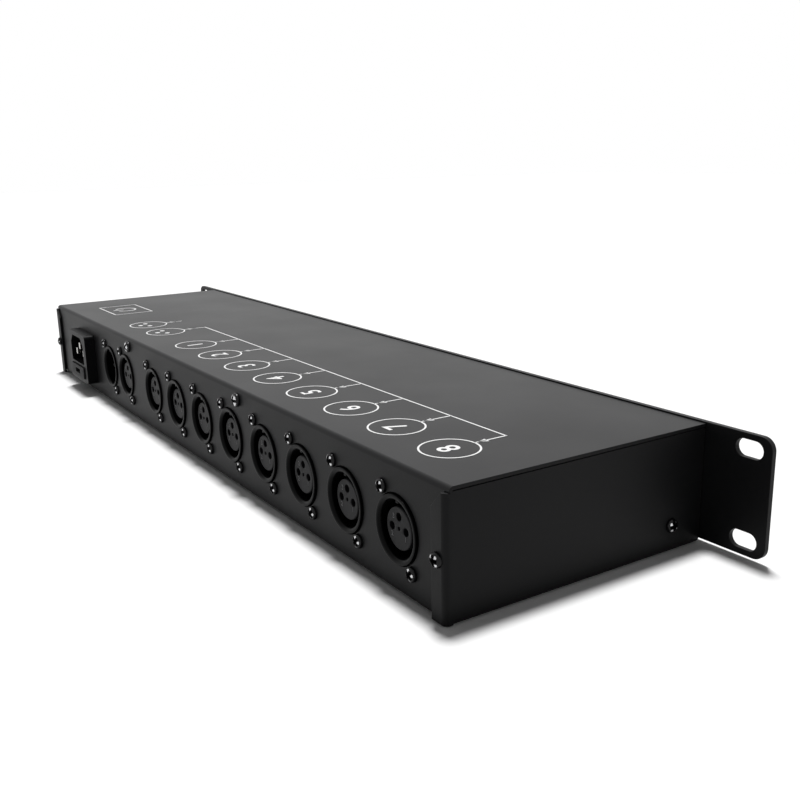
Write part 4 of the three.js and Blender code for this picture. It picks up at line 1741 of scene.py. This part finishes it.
@dataclass
class LidPrint:
    """The white lines, circles and numbers printed on the lid and the front.

    The printed outputs stand a little closer together than the connectors do. The sixth is the
    one that lines up, and the input and the through output are a pair that is shifted as one.
    """

    ink: float = 0.05 * MM
    pitch_share: float = 0.969
    anchor: int = 5
    pair_shift: float = 3.1 * MM
    pair_drop: float = 0.5 * MM
    line: float = 0.66 * MM
    circle_radius: float = 9.95 * MM
    circle_sides: int = 96
    circle_setback: float = 21.6 * MM
    bus_setback: float = 44.6 * MM
    arrow_setback: float = 35.3 * MM
    arrow_size: float = 1.6 * MM
    arrow_stretch: float = 1.6
    pair_arrow_drop: float = 1 * MM
    stub_rise: float = 3 * MM
    number_height: float = 11 * MM
    number_weight: float = 0.015
    front_height: float = 4.6 * MM
    front_rise: float = 6 * MM
    dot_radius: float = 1.3 * MM
    dot_sides: int = 24
    dot_circle: float = 4.0 * MM
    power_width: float = 34 * MM
    power_from: float = 18 * MM
    power_to: float = 40.5 * MM
    power_radius: float = 6.0 * MM
    power_line: float = 0.9 * MM
    power_stem: tuple[float, float] = (1.2 * MM, 7.5 * MM)
    power_gap: float = math.radians(70)
    power_steps: int = 48
    power_shift: float = 14 * MM

    def build(self) -> None:
        """Builds the circles, the lines with their arrows and the numbers."""
        input_socket, through, *outputs = SOCKETS
        pair = [socket.middle.x - self.pair_shift for socket in (input_socket, through)]
        anchor = outputs[self.anchor].middle.x
        row = [anchor + (socket.middle.x - anchor) * self.pitch_share for socket in outputs]
        rear, half = PLACES.rear, self.line / 2
        circle_y, bus_y = rear - self.circle_setback, rear - self.bus_setback
        circles = [self._circle(x, circle_y) for x in row]
        circles += [self._circle(x, circle_y - self.pair_drop) for x in pair]
        near = circle_y - self.circle_radius
        lines = [self._bar(row[-1] - half, pair[1] + half, bus_y - half, bus_y + half)]
        lines += [self._bar(x - half, x + half, bus_y, near) for x in (pair[1], *row)]
        lines.append(self._bar(pair[0] - half, pair[0] + half, bus_y + self.stub_rise, near))
        size, stretch, arrow_y = self.arrow_size, self.arrow_stretch, rear - self.arrow_setback
        arrows = [self._spot(x, arrow_y, size, 3, stretch) for x in row]
        arrow_y -= self.pair_arrow_drop
        arrows += [self._spot(x, arrow_y, size, 3, -stretch) for x in pair]
        reach = self.dot_circle
        dots = [
            self._spot(middle + x * reach, circle_y + y * reach, self.dot_radius, self.dot_sides)
            for middle in pair
            for x, y in CONTACT_WAYS
        ]
        piece("print_circles", merged(circles), PRINT_INK)
        piece("print_lines", merged(lines), PRINT_INK)
        piece("print_arrows", merged(arrows), PRINT_INK)
        piece("print_dots", merged(dots), PRINT_INK)
        self._power_mark(rear)
        for index, x in enumerate(row, start=1):
            flat = Matrix.Translation((x, circle_y, PLACES.top + self.ink / 2))
            self._number(f"print_number_{index}", index, self.number_height, flat)
        low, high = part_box("front_panel")
        y, z = low.y - self.ink / 2, (low.z + high.z) / 2 + self.front_rise
        for index, socket in enumerate(outputs, start=1):
            place = Matrix.Translation((socket.middle.x, y, z))
            upright = place @ Matrix.Rotation(QUARTER, 4, "X")
            self._number(f"front_number_{index}", index, self.front_height, upright)

    def _circle(self, x: float, y: float) -> BMesh:
        """Makes one printed circle.

        Args:
            x: Its middle's X.
            y: Its middle's Y.

        Returns:
            The mesh.
        """
        inner, outer = self.circle_radius - self.line / 2, self.circle_radius + self.line / 2
        bm = washer(inner, outer, 0, self.ink, self.circle_sides)
        upright = Matrix.Rotation(QUARTER, 4, "X")
        return moved(bm, Matrix.Translation((x, y, PLACES.top)) @ upright)

    def _bar(self, x0: float, x1: float, y0: float, y1: float) -> BMesh:
        """Makes one printed line."""
        return slab((x0, y0, PLACES.top), (x1, y1, PLACES.top + self.ink))

    def _spot(self, x: float, y: float, radius: float, sides: int, stretch: float = 1) -> BMesh:
        """Makes one printed dot for a contact, or an arrowhead where it has three sides.

        Args:
            x: Its middle's X.
            y: Its middle's Y.
            radius: Its radius.
            sides: The number of its sides.
            stretch: Its length along Y as a share of its width, negative to point forwards.

        Returns:
            The mesh.
        """
        bm = bmesh.new()
        place = Matrix.Translation((x, y, PLACES.top)) @ Matrix.Diagonal((1, stretch, 1, 1))
        bmesh.ops.create_circle(bm, cap_ends=True, radius=radius, segments=sides, matrix=place)
        pushed(bm, bm.faces[:], Vector((0, 0, self.ink)))
        return tidied(bm)

    def _power_mark(self, rear: float) -> None:
        """Prints a frame with the power sign beside the mains inlet.

        Args:
            rear: The lid's rear edge.
        """
        x = middle_of("inlet_housing").x + self.power_shift
        left, right = x - self.power_width / 2, x + self.power_width / 2
        front, back = rear - self.power_to, rear - self.power_from
        half = self.line / 2
        bars = [self._bar(left, right, y - half, y + half) for y in (front, back)]
        bars += [self._bar(side - half, side + half, front, back) for side in (left, right)]
        y, half = (front + back) / 2, self.power_line / 2
        start, end = self.power_stem
        bars.append(self._bar(x - half, x + half, y + start, y + end))
        inner, outer, ink = self.power_radius - half, self.power_radius + half, self.ink
        arc = bmesh.new()
        section = chain(arc, [(0, inner, 0), (0, outer, 0), (0, outer, ink), (0, inner, ink)])
        moved(arc, Matrix.Rotation(self.power_gap / 2, 4, "Z"))
        sweep = math.tau - self.power_gap
        last = bent(arc, section, Vector(), Vector((0, 0, 1)), sweep, self.power_steps)
        for loop in (section, last):
            bmesh.ops.contextual_create(arc, geom=loop)
        moved(tidied(arc), Matrix.Translation((x, y, PLACES.top)))
        piece("print_power_mark", merged([*bars, arc]), PRINT_INK)

    def _number(self, name: str, number: int, height: float, place: Matrix) -> None:
        """Prints one number.

        Args:
            name: The piece's name.
            number: The number.
            height: The height of its line.
            place: Where its middle goes, and how it is turned.
        """
        mesh = lettered(str(number), height, self.number_weight, self.ink)
        piece(name, moved(mesh, place), PRINT_INK)


@dataclass
class Inside:
    """The parts inside the closed case, which keep their CAD shapes."""

    finishes: tuple[tuple[str, Finish], ...] = (
        ("connector_board", BOARD_GREEN),
        ("board_bracket", ZINC),
        ("power_supply", ZINC),
    )

    def build(self) -> None:
        """Gives each part its finish."""
        for node, finish in self.finishes:
            mesh = frame["nodes"][node].data
            mesh.materials.clear()
            mesh.materials.append(finish.material())
            log.info("%s: CAD shape", node)


# The studio


@dataclass
class Studio:
    """The floor, the lamps and the camera."""

    lens: float = 42.67
    sensor: float = 36.0
    eye_x: float = -0.41793
    eye_setback: float = 0.14685
    eye_z: float = 0.13337
    azimuth: float = math.radians(237.101)
    elevation: float = math.radians(14.505)
    roll: float = math.radians(-1.128)
    floor_size: float = 8.0
    floor_roughness: float = 0.9
    floor_level: float = 0.9
    floor_bounce: float = 0.3
    key_way: tuple[float, float, float] = (-0.17, 0.12, -1)
    key_spread: float = math.radians(9)
    key_strength: float = 3.35
    back_way: tuple[float, float, float] = (-0.8, 0.45, -0.55)
    back_spread: float = math.radians(60)
    back_strength: float = 0.35
    world_level: float = 0.12

    def build(self) -> None:
        """Builds the whole studio."""
        self._floor()
        self._world()
        self._lamp("key", self.key_way, self.key_spread, self.key_strength)
        self._lamp("back", self.back_way, self.back_spread, self.back_strength)
        self._camera()

    def _floor(self) -> None:
        """Builds the pale floor, which throws less light back at the object than it shows."""
        mesh = bpy.data.meshes.new("floor")
        bm = bmesh.new()
        bmesh.ops.create_grid(bm, x_segments=1, y_segments=1, size=self.floor_size / 2)
        bm.to_mesh(mesh)
        bm.free()
        floor = bpy.data.objects.new("floor", mesh)
        bpy.context.scene.collection.objects.link(floor)
        material = bpy.data.materials.new("pale_floor")
        graph = Graph(material)
        bounced = graph.add("ShaderNodeLightPath", "Is Diffuse Ray")
        level = graph.ranged(bounced, self.floor_level, self.floor_bounce)
        inputs = {"Roughness": self.floor_roughness, "Base Color": level}
        graph.fill(graph.nodes["Principled BSDF"], inputs)
        mesh.materials.append(material)

    def _world(self) -> None:
        """Builds the white background and its soft light."""
        world = bpy.data.worlds.new("studio")
        bpy.context.scene.world = world
        graph = Graph(world)
        seen = graph.add("ShaderNodeLightPath", "Is Camera Ray")
        for name in ("Is Glossy Ray", "Is Transmission Ray"):
            inputs = {0: seen, 1: graph.add("ShaderNodeLightPath", name)}
            seen = graph.add("ShaderNodeMath", 0, inputs, operation="MAXIMUM")
        inputs = {"Color": (1, 1, 1, 1), "Strength": graph.ranged(seen, self.world_level, 1.0)}
        graph.fill(graph.nodes["Background"], inputs)

    @staticmethod
    def _lamp(name: str, way: tuple[float, float, float], spread: float, strength: float) -> None:
        """Adds a distant lamp.

        Args:
            name: The lamp's name.
            way: The direction of its light.
            spread: The angle that it fills in the sky.
            strength: Its strength.
        """
        data = bpy.data.lights.new(name, "SUN")
        data.angle = spread
        data.energy = strength
        lamp = bpy.data.objects.new(name, data)
        lamp.rotation_euler = Vector(way).to_track_quat("-Z", "Y").to_euler()
        bpy.context.scene.collection.objects.link(lamp)

    def _camera(self) -> None:
        """Places the camera at the photograph's angle."""
        a, e, r = self.azimuth, self.elevation, self.roll
        back = Vector((math.sin(a) * math.cos(e), -math.cos(a) * math.cos(e), math.sin(e)))
        right = Vector((math.cos(a), math.sin(a), 0))
        up = back.cross(right)
        across = right * math.cos(r) + up * math.sin(r)
        upward = up * math.cos(r) - right * math.sin(r)
        facing = Matrix((across, upward, back)).transposed().to_4x4()
        eye = Vector((self.eye_x, PLACES.rear + self.eye_setback, self.eye_z))
        data = bpy.data.cameras.new("camera")
        data.lens = self.lens
        data.sensor_width = self.sensor
        camera = bpy.data.objects.new("camera", data)
        camera.matrix_world = Matrix.Translation(eye) @ facing
        bpy.context.scene.collection.objects.link(camera)
        bpy.context.scene.camera = camera


def main() -> None:
    """Builds the pieces in order and lights them."""
    logging.basicConfig(level=logging.INFO, format="%(name)s %(message)s")
    bpy.context.scene.view_settings.view_transform = "Standard"
    connectors = [Connector(socket) for socket in SOCKETS]
    for part in (TopCover(), BaseTray(), FrontPanel(), *connectors):
        part.build()
    numbers = [part.contact_numbers() for part in connectors if not part.socket.pins]
    piece("contact_numbers", merged(numbers), CONTACT_GREY)
    for part in (Screws(), MainsInlet(), Lights(), PowerSwitch(), LidPrint(), Inside(), Studio()):
        part.build()


if __name__ == "__main__":
    main()
